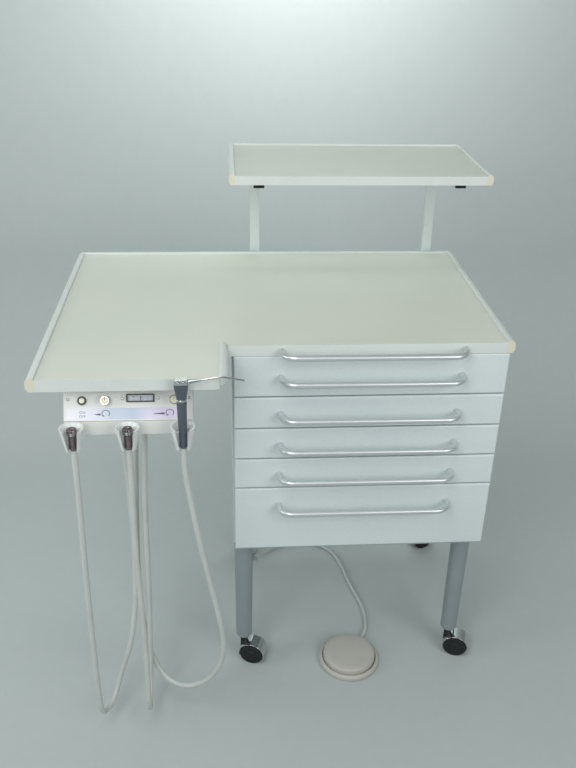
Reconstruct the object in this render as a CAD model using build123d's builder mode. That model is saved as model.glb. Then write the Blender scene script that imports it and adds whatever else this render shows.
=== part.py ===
from build123d import *
from math import cos, pi, radians, sin, sqrt, tan
import os

os.makedirs("parts", exist_ok=True)

# Overall sizes in millimetres. Z is up with the floor at 0, the front faces -Y,
# and the origin is the middle of the whole unit's outline on the floor.
worktop_width = 900
worktop_depth = 522
# The rear right caster reaches this far past the worktop's right edge
caster_reach = 29.48
# The handpiece holders reach this far in front of the drawers
front_reach = 163.19
post_depth = 15
shelf_overhang = 17
total_depth = front_reach + worktop_depth + shelf_overhang
front_y = front_reach - total_depth / 2
worktop_back_y = front_y + worktop_depth
left_x = -(worktop_width + caster_reach) / 2
right_x = left_x + worktop_width

# Cabinet
cabinet_width = 540
top_overhang = 4
cabinet_x = right_x - top_overhang - cabinet_width / 2
half_cabinet = cabinet_width / 2
side_thickness = 16
rear_thickness = 12
carcass_setback = 20
base_top = 396
base_thickness = 24
base_setback = 29
base_bottom = base_top - base_thickness
rail_width = 60
rail_thickness = 14
carcass_gap = 2

# Worktop: a board between edging strips that stand proud of it at the sides and the back,
# and flush bands of edging along its two front edges
board_bottom = 853
board_thickness = 22
board_top = board_bottom + board_thickness
rim_height = 5
rim_width = 15
rim_roundings = (10, 8, 2)
band_thickness = 3
board_easing = 0.2
wing_width = 348.5
wing_forward = 130
wing_right_x = left_x + wing_width
outline_margin = 1
wing_front_y = front_y - wing_forward
wing_rim_end = 10
wing_rim_end_radius = 6
small_corner = 12
inner_corner = 3
wing_corner = 28

# Drawers, from the top down
front_top = 852
drawer_pitches = [90, 71, 71, 71, 156]
front_gap = 3
front_width = 534
front_thickness = 18
front_rounding = 3
box_half_width = 241.5
box_length = 440
box_corner = 8
box_wall = 4
box_lift = 8
box_headroom = 15
runner_height = 35
runner_thickness = 7
groove_height = 20.6
groove_depth = 4
rail_height = 20
rail_reach = 9.1
rail_length = 430
rail_start = 4
runner_rise = 22

# Bow handles
handle_spacing = 352
handle_rod = 11.5
handle_reach = 38
handle_bend = 28
bottom_handle_drop = 39
push_handle_z = 865

# Upper shelf
shelf_front_y = front_y + 255
shelf_back_y = worktop_back_y + shelf_overhang
shelf_bottom = 1110
shelf_thickness = 18
shelf_rim_height = 4
shelf_rim_width = 12
shelf_rim_roundings = (8, 7, 1.6)
post_spacing = 418
post_width = 22
post_bottom = 690
arm_height = 12
arm_setback = 25
cap_thickness = 3

# Legs and casters
leg_spacing = 496
front_leg_y = front_y + 80
rear_leg_y = worktop_back_y - 45
leg_bottom = 76
leg_bottom_radius = 19
leg_top_radius = 21
leg_rounding = 5
leg_wall = 2
leg_plug = 32
flange_radius = 22
flange_thickness = 4
stem_radius = 5.5
stem_clearance = 0.05
stem_end_gap = 4
wheel_radius = 28.4
wheel_width = 8.6
wheel_start = 9.4
wheel_rounding = 1.5
hood_gap = 0.6
axle_radius = 3
axle_end_gap = 1
hood_wall = 1.6
hood_radius = wheel_radius + hood_gap + hood_wall
hood_half = 18
hood_floor = 20
web_half = 9
web_floor = 9
boss_radius = 8.5
boss_gap = 0.4
boss_top = leg_bottom - boss_gap
trail = 22
caster_turns = {"front_left": 72, "front_right": 73, "rear_left": 40, "rear_right": 110}

# Control box under the wing. Its panel leans back, and heights on it run up the slope.
panel_left = left_x + 56
panel_right = left_x + 284
panel_x = (panel_left + panel_right) / 2
panel_width = panel_right - panel_left
panel_y = front_y - 118
panel_tilt = radians(28)
panel_thickness = 3
panel_low = 1.7
panel_high = 75
housing_bottom = 785
housing_back_y = front_y + 65
housing_wall = 3
housing_corner = 8
bar_height = 29
bar_depth = 18
bar_rounding = 3
valve_y = front_y - 10
valve_size = (130, 60, 40)
valve_spacing = 40
valve_radius = 9
valve_height = 22

# Controls on the panel
control_height = 38
button_x = left_x + 88.6
button_radius = 5
button_front = 4.5
button_length = 10.5
button_clearance = 0.4
ring_radius = 8
ring_height = 3
button_rounding = 1
knob_positions = {"air_knob": left_x + 130, "speed_knob": left_x + 252}
knob_radius = 8.8
knob_length = 13
knob_taper = 4
knob_rounding = 1.2
knob_gap = 1
knob_shaft = 3
knob_shaft_length = 11
shaft_clearance = 0.06
gauge_x = left_x + 191.5
gauge_middle = 41.5
gauge_width = 50
gauge_height = 15
window_width = 44.6
window_height = 9.8
bezel_thickness = 2.5
bezel_corner = 2
case_height = 30
case_depth = 20
case_wall = 2
dial_setback = 2.5
dial_thickness = 1
dial_gap = 0.2
needle_pivot = 24.5
needle_length = 20
needle_width = 1.2
needle_thickness = 1.2
needle_hub = 2.5
needle_setback = 0.6
screw_positions = [left_x + 63.7, left_x + 159.5, left_x + 223.4, left_x + 278.7]
screw_row = 40.7
screw_head = 2.8
screw_head_height = 1.4
screw_shank = 1.5
screw_length = 8

# Holders and handpieces
holder_spacing = 96.8
holder_y = front_y - 145
holder_middle_x = left_x + 170.3
holder_x = {
    "left": holder_middle_x - holder_spacing,
    "middle": holder_middle_x,
    "right": holder_middle_x + holder_spacing,
}
holder_top = 789
holder_bottom = 745
holder_top_radius = 22
holder_bottom_radius = 14
ledge_z = 776
cup_radii = (11, 19)
slot_half_widths = (7, 12.5)
connector_bore = 7.4
syringe_bore = (6.55, 7.75)
bracket_width = 16
bracket_reach = 12
bracket_height = 23
bracket_drop = 2
handpiece_bottom = 745

# Half profiles of the turned pieces, as (radius, height) from the bottom up
connector_profile = [
    (6.6, handpiece_bottom), (7, ledge_z - 3), (7, ledge_z + 0.3), (9.5, ledge_z + 0.3),
    (9.5, ledge_z + 8), (8.6, ledge_z + 9.5), (8.6, ledge_z + 11), (3.5, ledge_z + 11),
    (3.5, ledge_z + 8),
]
syringe_profile = [
    (6.15, handpiece_bottom), (7.35, ledge_z), (8.1, 796), (8.9, 834), (8.9, 841),
    (9.4, 841), (9.4, 845), (9, 845), (13, 872.5),
]

# The syringe's head, its two buttons and its nozzle
head_half_width = 12.5
head_half_depth = 5.5
head_bottom = syringe_profile[-1][1]
head_top = 882.5
head_corner = 4
head_rounding = 1.5
# Flats on the flare's front and back, as (distance from the axis, height)
flare_flat = [(9.1, 846), (6, 872.5)]
syringe_button_offset = 5
syringe_button_radius = 3
syringe_button_front = 3
syringe_button_length = 5
syringe_button_rounding = 0.8
nozzle_radius = 1.7
nozzle_turn_radius = 45
nozzle_gap = 1.5
cone_radius = 4.2
cone_length = 22
cone_taper = 5.9
spigot_radius = 2
spigot_length = 4.5
nozzle_socket_depth = 4
nozzle_socket_z = 877
nozzle_bend = (left_x + 336, 886)
nozzle_tip = (left_x + 376, 878.5)

# Foot control
pedal_x = cabinet_x + 5
pedal_y = front_y + 58
pedal_radius = 72
pedal_rim_top = 14
pedal_pocket_radius = 64
pedal_floor = 4.5
pedal_side_top = 9
pedal_slope = 5
pedal_foot_bevel = 2
disc_radius = 62
disc_bottom = 10
disc_top = 30
disc_skirt = 4
disc_shoulder = 5
dome_reach = 57
dome_rise = 3
pedal_stub_length = 16
pedal_stub_radius = 5.5

# Hoses and the pedal's air tube
hose_diameter = 11.5
tube_diameter = 8
gland_height = 12
gland_radius = 9

# Routes of the three hoses, from the handpiece round the loop and up to the gland, and of
# the pedal's tube along the floor and up to its gland. Points were chosen by hand, with X
# measured from the worktop's left edge and Y from the drawers' front face.
routes = {
    "hose_left": [
        (73.5, -145, 745), (73.5, -145, 690), (71.8, -143, 606), (69.1, -139, 504),
        (66.5, -134.5, 397), (65, -130, 290), (64, -130, 195), (64.5, -129.5, 125),
        (65.5, -128.5, 66), (73.5, -105, 41), (85.5, -72.5, 41), (94, -49.5, 66),
        (108, -46, 112), (126, -43, 168), (139, -40, 240), (147, -36, 325),
        (151, -30, 430), (149, -25, 540), (146, -22, 640), (144, -20, 710), (144, -20, 773),
    ],
    "hose_middle": [
        (170.3, -145, 745), (170.3, -145, 690), (169.2, -143, 606), (166.8, -139, 510),
        (168.5, -134.5, 403), (170, -129, 290), (170, -128, 190), (169, -128.5, 125),
        (168.5, -128, 71), (167, -103.5, 46), (165, -68.5, 46), (165, -44, 71),
        (167, -41, 120), (170, -39, 200), (174, -35, 310), (176, -31, 430),
        (178, -26, 550), (183, -22, 640), (186, -20, 710), (186, -20, 773),
    ],
    "hose_right": [
        (267.1, -145, 745), (267.1, -145, 698), (273.5, -143, 646), (283.3, -140, 570),
        (297.2, -136, 479), (313, -130, 385), (326, -126, 310), (333, -119, 238),
        (325, -107, 172), (301, -94, 117), (264, -79, 78), (223.5, -59, 62),
        (186.5, -34, 79), (163.5, -22, 141), (153, -15, 238), (151, -12, 362),
        (156, -8, 496), (162, 0, 620), (166, 10, 710), (166, 10, 773),
    ],
    "pedal_tube": [
        (674.5, 127.5, 7), (684, 143, 7), (690, 172, 5), (692, 209.5, 4.5),
        (686, 252, 4.5), (669, 316, 4.5), (658, 384, 4.5), (642, 449, 4.5),
        (608, 489.5, 4.5), (550, 502, 4.5), (492, 494.5, 7), (454, 475.5, 26),
        (440, 463.5, 70), (438, 459.5, 140), (440, 461, 225), (438, 459.5, 305),
        (438, 459.5, 360),
    ],
}
for name, points in routes.items():
    routes[name] = [(left_x + x, front_y + y, z) for x, y, z in points]


def upright(x, y):
    """Plane through a vertical axis: its own X is the radius and its own Y is the height."""
    return Plane(origin=(x, y, 0), x_dir=(1, 0, 0), z_dir=(0, -1, 0))


def rounded_face(corners):
    """Flat face through (x, y, radius) corners, each rounded by its own radius."""
    with BuildSketch() as face:
        with BuildLine():
            Polyline(*[(x, y) for x, y, radius in corners], close=True)
        make_face()
        for x, y, radius in corners:
            if radius > 0:
                fillet(face.vertices().sort_by_distance((x, y, 0))[0], radius=radius)
    return face.sketch


def edges_along(strips, outline, flush_ends, z):
    """Edges at height z that lie on the outline, apart from those across the strips' ends."""
    chosen = []
    for edge in strips.edges():
        middle = edge @ 0.5
        below = Vertex(middle.X, middle.Y, 0)
        away = min(side.distance_to(below) for side in outline.edges())
        at_end = min(abs(middle.Y - y) for y in flush_ends) < 0.01
        if abs(middle.Z - z) < 0.01 and away < 0.01 and not at_end:
            chosen.append(edge)
    return chosen


def edge_strips(outline, hollow, bottom, top, roundings, flush_ends):
    """Strips between outline and hollow, rounded at the outer top, outer bottom and inner top."""
    with BuildPart() as strips:
        with BuildSketch(Plane.XY.offset(bottom)):
            add(outline)
            add(hollow, mode=Mode.SUBTRACT)
        extrude(amount=top - bottom)
        fillet(edges_along(strips, outline, flush_ends, top), radius=roundings[0])
        fillet(edges_along(strips, outline, flush_ends, bottom), radius=roundings[1])
        fillet(edges_along(strips, hollow, flush_ends, top), radius=roundings[2])
    return strips.part


def worktop_outline(inset):
    """The worktop seen from above, with its front edges drawn back by inset."""
    return rounded_face(
        [
            (left_x, worktop_back_y, small_corner),
            (right_x, worktop_back_y, small_corner),
            (right_x, front_y + inset, 0),
            (wing_right_x - inset, front_y + inset, 0),
            (wing_right_x - inset, wing_front_y + inset, wing_corner - inset),
            (left_x, wing_front_y + inset, 0),
        ]
    )


def worktop_hollow(end_radius):
    """Area between the edging strips, carried on past the front edges."""
    inner_left = left_x + rim_width
    inner_right = right_x - rim_width
    inner_back = worktop_back_y - rim_width
    wing_inner = wing_right_x - rim_width
    return rounded_face(
        [
            (inner_left, inner_back, inner_corner),
            (inner_right, inner_back, inner_corner),
            (inner_right, front_y - outline_margin, 0),
            (wing_right_x, front_y - outline_margin, 0),
            (wing_right_x, front_y + wing_rim_end, end_radius),
            (wing_inner, front_y + wing_rim_end, end_radius),
            (wing_inner, wing_front_y - outline_margin, 0),
            (inner_left, wing_front_y - outline_margin, 0),
        ]
    )


worktop_middle = worktop_hollow(wing_rim_end_radius)
rim_top = board_top + rim_height
with BuildPart() as worktop_board:
    with BuildSketch(Plane.XY.offset(board_bottom)):
        add(worktop_outline(band_thickness))
        add(worktop_middle, mode=Mode.INTERSECT)
    extrude(amount=board_thickness)
    chamfer(worktop_board.faces().sort_by(Axis.Z)[-1].edges(), length=board_easing)
worktop_board.part.label = "worktop_board"
export_step(worktop_board.part, "parts/worktop_board.step")

worktop_strips = edge_strips(
    worktop_outline(0), worktop_hollow(0), board_bottom, rim_top, rim_roundings,
    (front_y, wing_front_y, front_y + wing_rim_end),
)
with BuildPart() as worktop_rim:
    add(worktop_strips)
    with BuildSketch(Plane.XY.offset(board_bottom)):
        add(worktop_outline(0))
        add(worktop_middle, mode=Mode.SUBTRACT)
    extrude(amount=rim_top - board_bottom, mode=Mode.INTERSECT)
    with BuildSketch(Plane.XY.offset(board_bottom)):
        add(worktop_outline(0))
        add(worktop_middle, mode=Mode.INTERSECT)
        add(worktop_outline(band_thickness), mode=Mode.SUBTRACT)
    extrude(amount=board_thickness)
worktop_rim.part.label = "worktop_rim"
export_step(worktop_rim.part, "parts/worktop_rim.step")

# Cabinet: two sides, a rear panel and two rails under the worktop
side_front = front_y + carcass_setback
side_depth = worktop_back_y - rear_thickness - side_front
inner_half = half_cabinet - side_thickness
with BuildPart() as carcass_panels:
    for side in (-1, 1):
        side_x = cabinet_x + side * (half_cabinet - side_thickness / 2)
        with Locations((side_x, side_front + side_depth / 2, base_top)):
            Box(side_thickness, side_depth, board_bottom - base_top,
                align=(Align.CENTER, Align.CENTER, Align.MIN))
    with Locations((cabinet_x, worktop_back_y, base_top)):
        Box(cabinet_width, rear_thickness, board_bottom - base_top,
            align=(Align.CENTER, Align.MAX, Align.MIN))
    front_rail_y = side_front + carcass_gap + rail_width / 2
    rear_rail_y = side_front + side_depth - rail_width / 2
    for rail_y in (front_rail_y, rear_rail_y):
        with Locations((cabinet_x, rail_y, board_bottom)):
            Box(2 * inner_half, rail_width, rail_thickness,
                align=(Align.CENTER, Align.CENTER, Align.MAX))
carcass_panels.part.label = "carcass_panels"
export_step(carcass_panels.part, "parts/carcass_panels.step")

with BuildPart() as base_panel:
    with Locations((cabinet_x, front_y + base_setback, base_bottom)):
        Box(cabinet_width, worktop_depth - base_setback, base_thickness,
            align=(Align.CENTER, Align.MIN, Align.MIN))
base_panel.part.label = "base_panel"
export_step(base_panel.part, "parts/base_panel.step")


def drawer_levels():
    """Top and bottom height of each drawer's front panel, from the top drawer down."""
    levels = []
    top = front_top
    for pitch in drawer_pitches:
        levels.append((top, top - pitch + front_gap))
        top -= pitch
    return levels


# Fixed runners: one grooved channel a side for each drawer
runner_middle_y = side_front + carcass_gap + box_length / 2
with BuildPart() as drawer_runners:
    for top, bottom in drawer_levels():
        runner_z = bottom + box_lift + runner_rise
        for side in (-1, 1):
            channel_x = cabinet_x + side * (inner_half - runner_thickness / 2)
            groove_x = cabinet_x + side * (inner_half - runner_thickness + groove_depth / 2)
            with Locations((channel_x, runner_middle_y, runner_z)):
                Box(runner_thickness, box_length, runner_height)
            with Locations((groove_x, runner_middle_y, runner_z)):
                Box(groove_depth, box_length, groove_height, mode=Mode.SUBTRACT)
drawer_runners.part.label = "drawer_runners"
export_step(drawer_runners.part, "parts/drawer_runners.step")


def handle_ends(z):
    """Corner points of a bow handle's centre line at height z."""
    half = handle_spacing / 2
    bar_y = front_y - handle_reach
    return [
        (cabinet_x - half, front_y, z),
        (cabinet_x - half, bar_y, z),
        (cabinet_x + half, bar_y, z),
        (cabinet_x + half, front_y, z),
    ]


handle_heights = []
for number, (top, bottom) in enumerate(drawer_levels(), start=1):
    box_y = front_y + front_thickness
    box_bottom = bottom + box_lift
    box_height = top - box_headroom - box_bottom

    with BuildPart() as drawer_front:
        with BuildSketch(Plane.XZ.offset(-front_y)):
            with Locations((cabinet_x, (top + bottom) / 2)):
                Rectangle(front_width, top - bottom)
        extrude(amount=-front_thickness)
        fillet(drawer_front.edges().group_by(Axis.Y)[0], radius=front_rounding)
    drawer_front.part.label = f"drawer_{number}_front"
    export_step(drawer_front.part, f"parts/drawer_{number}_front.step")

    with BuildPart() as drawer_box:
        with Locations((cabinet_x, box_y, box_bottom)):
            Box(2 * box_half_width, box_length, box_height,
                align=(Align.CENTER, Align.MIN, Align.MIN))
        fillet(drawer_box.edges().filter_by(Axis.Z).group_by(Axis.Y)[-1], radius=box_corner)
        with Locations((cabinet_x, box_y + box_wall, box_bottom + box_wall)):
            Box(2 * (box_half_width - box_wall), box_length - 2 * box_wall, box_height,
                align=(Align.CENTER, Align.MIN, Align.MIN), mode=Mode.SUBTRACT)
        for side in (-1, 1):
            rail_x = cabinet_x + side * (box_half_width + rail_reach / 2)
            with Locations((rail_x, box_y + rail_start, box_bottom + runner_rise)):
                Box(rail_reach, rail_length, rail_height,
                    align=(Align.CENTER, Align.MIN, Align.CENTER))
    drawer_box.part.label = f"drawer_{number}_box"
    export_step(drawer_box.part, f"parts/drawer_{number}_box.step")

    handle_z = (top + bottom) / 2
    if number == len(drawer_pitches):
        handle_z = top - bottom_handle_drop
    handle_heights.append(handle_z)
    with BuildPart() as drawer_handle:
        with BuildLine():
            FilletPolyline(*handle_ends(handle_z), radius=handle_bend)
        with BuildSketch(Plane(origin=handle_ends(handle_z)[0], z_dir=(0, -1, 0))):
            Circle(handle_rod / 2)
        sweep()
    drawer_handle.part.label = f"drawer_{number}_handle"
    export_step(drawer_handle.part, f"parts/drawer_{number}_handle.step")

with BuildPart() as push_handle:
    with BuildLine():
        FilletPolyline(*handle_ends(push_handle_z), radius=handle_bend)
    with BuildSketch(Plane(origin=handle_ends(push_handle_z)[0], z_dir=(0, -1, 0))):
        Circle(handle_rod / 2)
    sweep()
push_handle.part.label = "push_handle"
export_step(push_handle.part, "parts/push_handle.step")


shelf_left = cabinet_x - half_cabinet
shelf_right = cabinet_x + half_cabinet
shelf_outline = rounded_face(
    [
        (shelf_left, shelf_back_y, small_corner),
        (shelf_right, shelf_back_y, small_corner),
        (shelf_right, shelf_front_y, 0),
        (shelf_left, shelf_front_y, 0),
    ]
)
shelf_middle = rounded_face(
    [
        (shelf_left + shelf_rim_width, shelf_back_y - shelf_rim_width, inner_corner),
        (shelf_right - shelf_rim_width, shelf_back_y - shelf_rim_width, inner_corner),
        (shelf_right - shelf_rim_width, shelf_front_y - outline_margin, 0),
        (shelf_left + shelf_rim_width, shelf_front_y - outline_margin, 0),
    ]
)
board_front_y = shelf_front_y + band_thickness
with BuildPart() as shelf_board:
    with BuildSketch(Plane.XY.offset(shelf_bottom)):
        add(shelf_middle)
        with Locations((cabinet_x, board_front_y)):
            Rectangle(cabinet_width, 2 * worktop_depth, align=(Align.CENTER, Align.MIN),
                      mode=Mode.INTERSECT)
    extrude(amount=shelf_thickness)
    chamfer(shelf_board.faces().sort_by(Axis.Z)[-1].edges(), length=board_easing)
shelf_board.part.label = "shelf_board"
export_step(shelf_board.part, "parts/shelf_board.step")

shelf_strips = edge_strips(
    shelf_outline, shelf_middle, shelf_bottom,
    shelf_bottom + shelf_thickness + shelf_rim_height, shelf_rim_roundings, (shelf_front_y,),
)
with BuildPart() as shelf_rim:
    add(shelf_strips)
    with Locations((cabinet_x, shelf_front_y, shelf_bottom)):
        Box(cabinet_width - 2 * shelf_rim_width, band_thickness, shelf_thickness,
            align=(Align.CENTER, Align.MIN, Align.MIN))
shelf_rim.part.label = "shelf_rim"
export_step(shelf_rim.part, "parts/shelf_rim.step")

# Posts behind the cabinet and the worktop, each with a welded arm that carries the shelf
post_x = [cabinet_x - post_spacing / 2, cabinet_x + post_spacing / 2]
arm_front_y = shelf_front_y + arm_setback
with BuildPart() as shelf_frame:
    for x in post_x:
        with Locations((x, worktop_back_y, post_bottom)):
            Box(post_width, post_depth, shelf_bottom - post_bottom,
                align=(Align.CENTER, Align.MIN, Align.MIN))
        with Locations((x, arm_front_y, shelf_bottom)):
            Box(post_width, worktop_back_y - arm_front_y, arm_height,
                align=(Align.CENTER, Align.MIN, Align.MAX))
shelf_frame.part.label = "shelf_frame"
export_step(shelf_frame.part, "parts/shelf_frame.step")

with BuildPart() as arm_caps:
    for x in post_x:
        with Locations((x, arm_front_y, shelf_bottom)):
            Box(post_width, cap_thickness, arm_height,
                align=(Align.CENTER, Align.MAX, Align.MAX))
arm_caps.part.label = "arm_caps"
export_step(arm_caps.part, "parts/arm_caps.step")

# Legs: tapered tubes with a plug that takes the caster's stem, each under a round flange
leg_places = {
    "front_left": (cabinet_x - leg_spacing / 2, front_leg_y),
    "front_right": (cabinet_x + leg_spacing / 2, front_leg_y),
    "rear_left": (cabinet_x - leg_spacing / 2, rear_leg_y),
    "rear_right": (cabinet_x + leg_spacing / 2, rear_leg_y),
}
leg_top = base_bottom - flange_thickness
leg_bow = leg_rounding * (1 - cos(radians(45)))
socket_radius = stem_radius + stem_clearance
with BuildPart() as legs:
    for x, y in leg_places.values():
        with BuildSketch(upright(x, y)):
            with BuildLine():
                ThreePointArc(
                    (leg_bottom_radius - leg_rounding, leg_bottom),
                    (leg_bottom_radius - leg_bow, leg_bottom + leg_bow),
                    (leg_bottom_radius, leg_bottom + leg_rounding),
                )
                Polyline(
                    (leg_bottom_radius, leg_bottom + leg_rounding),
                    (leg_top_radius, leg_top),
                    (leg_top_radius - leg_wall, leg_top),
                    (leg_bottom_radius - leg_wall, leg_bottom + leg_plug),
                    (socket_radius, leg_bottom + leg_plug),
                    (socket_radius, leg_bottom),
                    (leg_bottom_radius - leg_rounding, leg_bottom),
                )
            make_face()
        revolve(axis=Axis((x, y, 0), (0, 0, 1)))
        with Locations((x, y, leg_top)):
            Cylinder(flange_radius, flange_thickness, align=(Align.CENTER, Align.CENTER, Align.MIN))
legs.part.label = "legs"
export_step(legs.part, "parts/legs.step")

# Casters: the wheels trail behind the stem, and the axle points along the caster's turn
for place, (x, y) in leg_places.items():
    turn = radians(caster_turns[place])
    axle = Vector(cos(turn), sin(turn), 0)
    back = Vector(sin(turn), -cos(turn), 0)
    middle = Vector(x, y, 0) + back * trail
    side_plane = Plane(origin=middle, x_dir=back, z_dir=-axle)

    with BuildPart() as hood:
        with BuildSketch(side_plane):
            with Locations((0, wheel_radius)):
                Circle(hood_radius)
                Circle(hood_radius - hood_wall, mode=Mode.SUBTRACT)
            with Locations((0, hood_floor)):
                Rectangle(3 * hood_radius, 2 * hood_radius, align=(Align.CENTER, Align.MAX),
                          mode=Mode.SUBTRACT)
        extrude(amount=hood_half, both=True)
        with BuildSketch(side_plane):
            with Locations((0, wheel_radius)):
                Circle(hood_radius - hood_wall / 2)
            with Locations((0, web_floor)):
                Rectangle(3 * hood_radius, hood_radius, align=(Align.CENTER, Align.MAX),
                          mode=Mode.SUBTRACT)
        extrude(amount=web_half, both=True)
        with Locations((x, y, wheel_radius)):
            Cylinder(boss_radius, boss_top - wheel_radius,
                     align=(Align.CENTER, Align.CENTER, Align.MIN))
        with Locations((x, y, boss_top)):
            Cylinder(stem_radius, leg_bottom + leg_plug - stem_end_gap - boss_top,
                     align=(Align.CENTER, Align.CENTER, Align.MIN))
        with BuildSketch(side_plane):
            with Locations((0, wheel_radius)):
                Circle(axle_radius)
        extrude(amount=wheel_start + wheel_width - axle_end_gap, both=True)
    hood.part.label = f"caster_{place}_hood"
    export_step(hood.part, f"parts/caster_{place}_hood.step")

    with BuildPart() as wheels:
        for side in (-1, 1):
            face_plane = side_plane.offset(side * wheel_start)
            with BuildSketch(face_plane):
                with Locations((0, wheel_radius)):
                    Circle(wheel_radius)
                    Circle(axle_radius + stem_clearance, mode=Mode.SUBTRACT)
            extrude(amount=side * wheel_width)
        rims = wheels.edges().filter_by(GeomType.CIRCLE)
        fillet(rims.filter_by(lambda e: e.radius > wheel_radius / 2), radius=wheel_rounding)
    wheels.part.label = f"caster_{place}_wheels"
    export_step(wheels.part, f"parts/caster_{place}_wheels.step")


# Control box: a shell open to the sloping panel and to the board above it
def panel_back_y(z):
    """Where the back of the leaning panel stands at height z."""
    return panel_y + panel_thickness / cos(panel_tilt) + (z - housing_bottom) * tan(panel_tilt)


housing_floor = housing_bottom + housing_wall
with BuildPart() as control_housing:
    with BuildSketch(Plane.YZ.offset(panel_x)):
        with BuildLine():
            Polyline((panel_back_y(housing_bottom), housing_bottom), (housing_back_y, housing_bottom),
                     (housing_back_y, board_bottom), (panel_back_y(board_bottom), board_bottom),
                     close=True)
        make_face()
    extrude(amount=panel_width / 2, both=True)
    fillet(control_housing.edges().filter_by(Axis.Z).group_by(Axis.Y)[-1], radius=housing_corner)
    with Locations((panel_x, panel_y, housing_floor)):
        Box(panel_width - 2 * housing_wall, housing_back_y - housing_wall - panel_y, board_bottom,
            align=(Align.CENTER, Align.MIN, Align.MIN), mode=Mode.SUBTRACT)
control_housing.part.label = "control_housing"
export_step(control_housing.part, "parts/control_housing.step")

# The panel's own plane: X as the whole unit's, and heights measured up the slope
out_of_panel = (0, -cos(panel_tilt), sin(panel_tilt))
panel_plane = Plane(origin=(0, panel_y, housing_bottom), x_dir=(1, 0, 0), z_dir=out_of_panel)
inside_plane = panel_plane.offset(-panel_thickness)
panel_axis = Axis((0, panel_y, housing_bottom), out_of_panel)
with BuildPart() as control_panel:
    with BuildSketch(panel_plane):
        with Locations((panel_x, (panel_low + panel_high) / 2)):
            Rectangle(panel_width, panel_high - panel_low)
        with Locations((button_x, control_height)):
            Circle(button_radius + button_clearance, mode=Mode.SUBTRACT)
        with Locations(*[(x, control_height) for x in knob_positions.values()]):
            Circle(knob_shaft + shaft_clearance, mode=Mode.SUBTRACT)
        with Locations((gauge_x, gauge_middle)):
            Rectangle(window_width, window_height, mode=Mode.SUBTRACT)
        with Locations(*[(x, screw_row) for x in screw_positions]):
            Circle(screw_shank, mode=Mode.SUBTRACT)
    extrude(amount=-panel_thickness)
control_panel.part.label = "control_panel"
export_step(control_panel.part, "parts/control_panel.step")

with BuildPart() as holder_bar:
    with Locations((panel_x, panel_y, housing_bottom)):
        Box(panel_width, bar_depth, bar_height, align=(Align.CENTER, Align.MIN, Align.MAX))
    fillet(holder_bar.edges().filter_by(Axis.X).sort_by(Axis.Z)[:2], radius=bar_rounding)
holder_bar.part.label = "holder_bar"
export_step(holder_bar.part, "parts/holder_bar.step")

# The black frames round the gauge's window and the power button
with BuildPart() as panel_bezels:
    with BuildSketch(panel_plane):
        with Locations((gauge_x, gauge_middle)):
            RectangleRounded(gauge_width, gauge_height, bezel_corner)
            Rectangle(window_width, window_height, mode=Mode.SUBTRACT)
    extrude(amount=bezel_thickness)
    with BuildSketch(panel_plane):
        with Locations((button_x, control_height)):
            Circle(ring_radius)
            Circle(button_radius + button_clearance, mode=Mode.SUBTRACT)
    extrude(amount=ring_height)
panel_bezels.part.label = "panel_bezels"
export_step(panel_bezels.part, "parts/panel_bezels.step")

# Gauge behind the panel: an open case with the dial plate near its mouth
case_middle = gauge_middle + gauge_height / 2 - case_height / 2
case_inner = (gauge_width - 2 * case_wall, case_height - 2 * case_wall)
with BuildPart() as gauge_case:
    with BuildSketch(inside_plane):
        with Locations((gauge_x, case_middle)):
            Rectangle(gauge_width, case_height)
    extrude(amount=-case_depth)
    with BuildSketch(inside_plane):
        with Locations((gauge_x, case_middle)):
            Rectangle(*case_inner)
    extrude(amount=-(case_depth - case_wall), mode=Mode.SUBTRACT)
    with BuildSketch(inside_plane.offset(-dial_setback)):
        with Locations((gauge_x, case_middle)):
            Rectangle(case_inner[0] - dial_gap, case_inner[1] - dial_gap)
    extrude(amount=-dial_thickness)
gauge_case.part.label = "gauge_case"
export_step(gauge_case.part, "parts/gauge_case.step")

with BuildPart() as gauge_needle:
    with BuildSketch(inside_plane.offset(-needle_setback)):
        with Locations((gauge_x, needle_pivot + needle_length / 2)):
            Rectangle(needle_width, needle_length)
        with Locations((gauge_x, needle_pivot)):
            Circle(needle_hub)
    extrude(amount=-needle_thickness)
gauge_needle.part.label = "gauge_needle"
export_step(gauge_needle.part, "parts/gauge_needle.step")

with BuildPart() as panel_screws:
    with BuildSketch(panel_plane):
        with Locations(*[(x, screw_row) for x in screw_positions]):
            Circle(screw_head)
    extrude(amount=screw_head_height)
    with BuildSketch(panel_plane):
        with Locations(*[(x, screw_row) for x in screw_positions]):
            Circle(screw_shank)
    extrude(amount=-screw_length)
panel_screws.part.label = "panel_screws"
export_step(panel_screws.part, "parts/panel_screws.step")

with BuildPart() as power_button:
    with BuildSketch(panel_plane.offset(button_front)):
        with Locations((button_x, control_height)):
            Circle(button_radius)
    extrude(amount=-button_length)
    fillet(power_button.edges().group_by(panel_axis)[-1], radius=button_rounding)
power_button.part.label = "power_button"
export_step(power_button.part, "parts/power_button.step")

for name, x in knob_positions.items():
    with BuildPart() as knob:
        with BuildSketch(panel_plane.offset(knob_gap)):
            with Locations((x, control_height)):
                Circle(knob_radius)
        extrude(amount=knob_length, taper=knob_taper)
        fillet(knob.edges().group_by(panel_axis)[-1], radius=knob_rounding)
        with BuildSketch(panel_plane.offset(knob_gap)):
            with Locations((x, control_height)):
                Circle(knob_shaft)
        extrude(amount=-knob_shaft_length)
    knob.part.label = name
    export_step(knob.part, f"parts/{name}.step")

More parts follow.
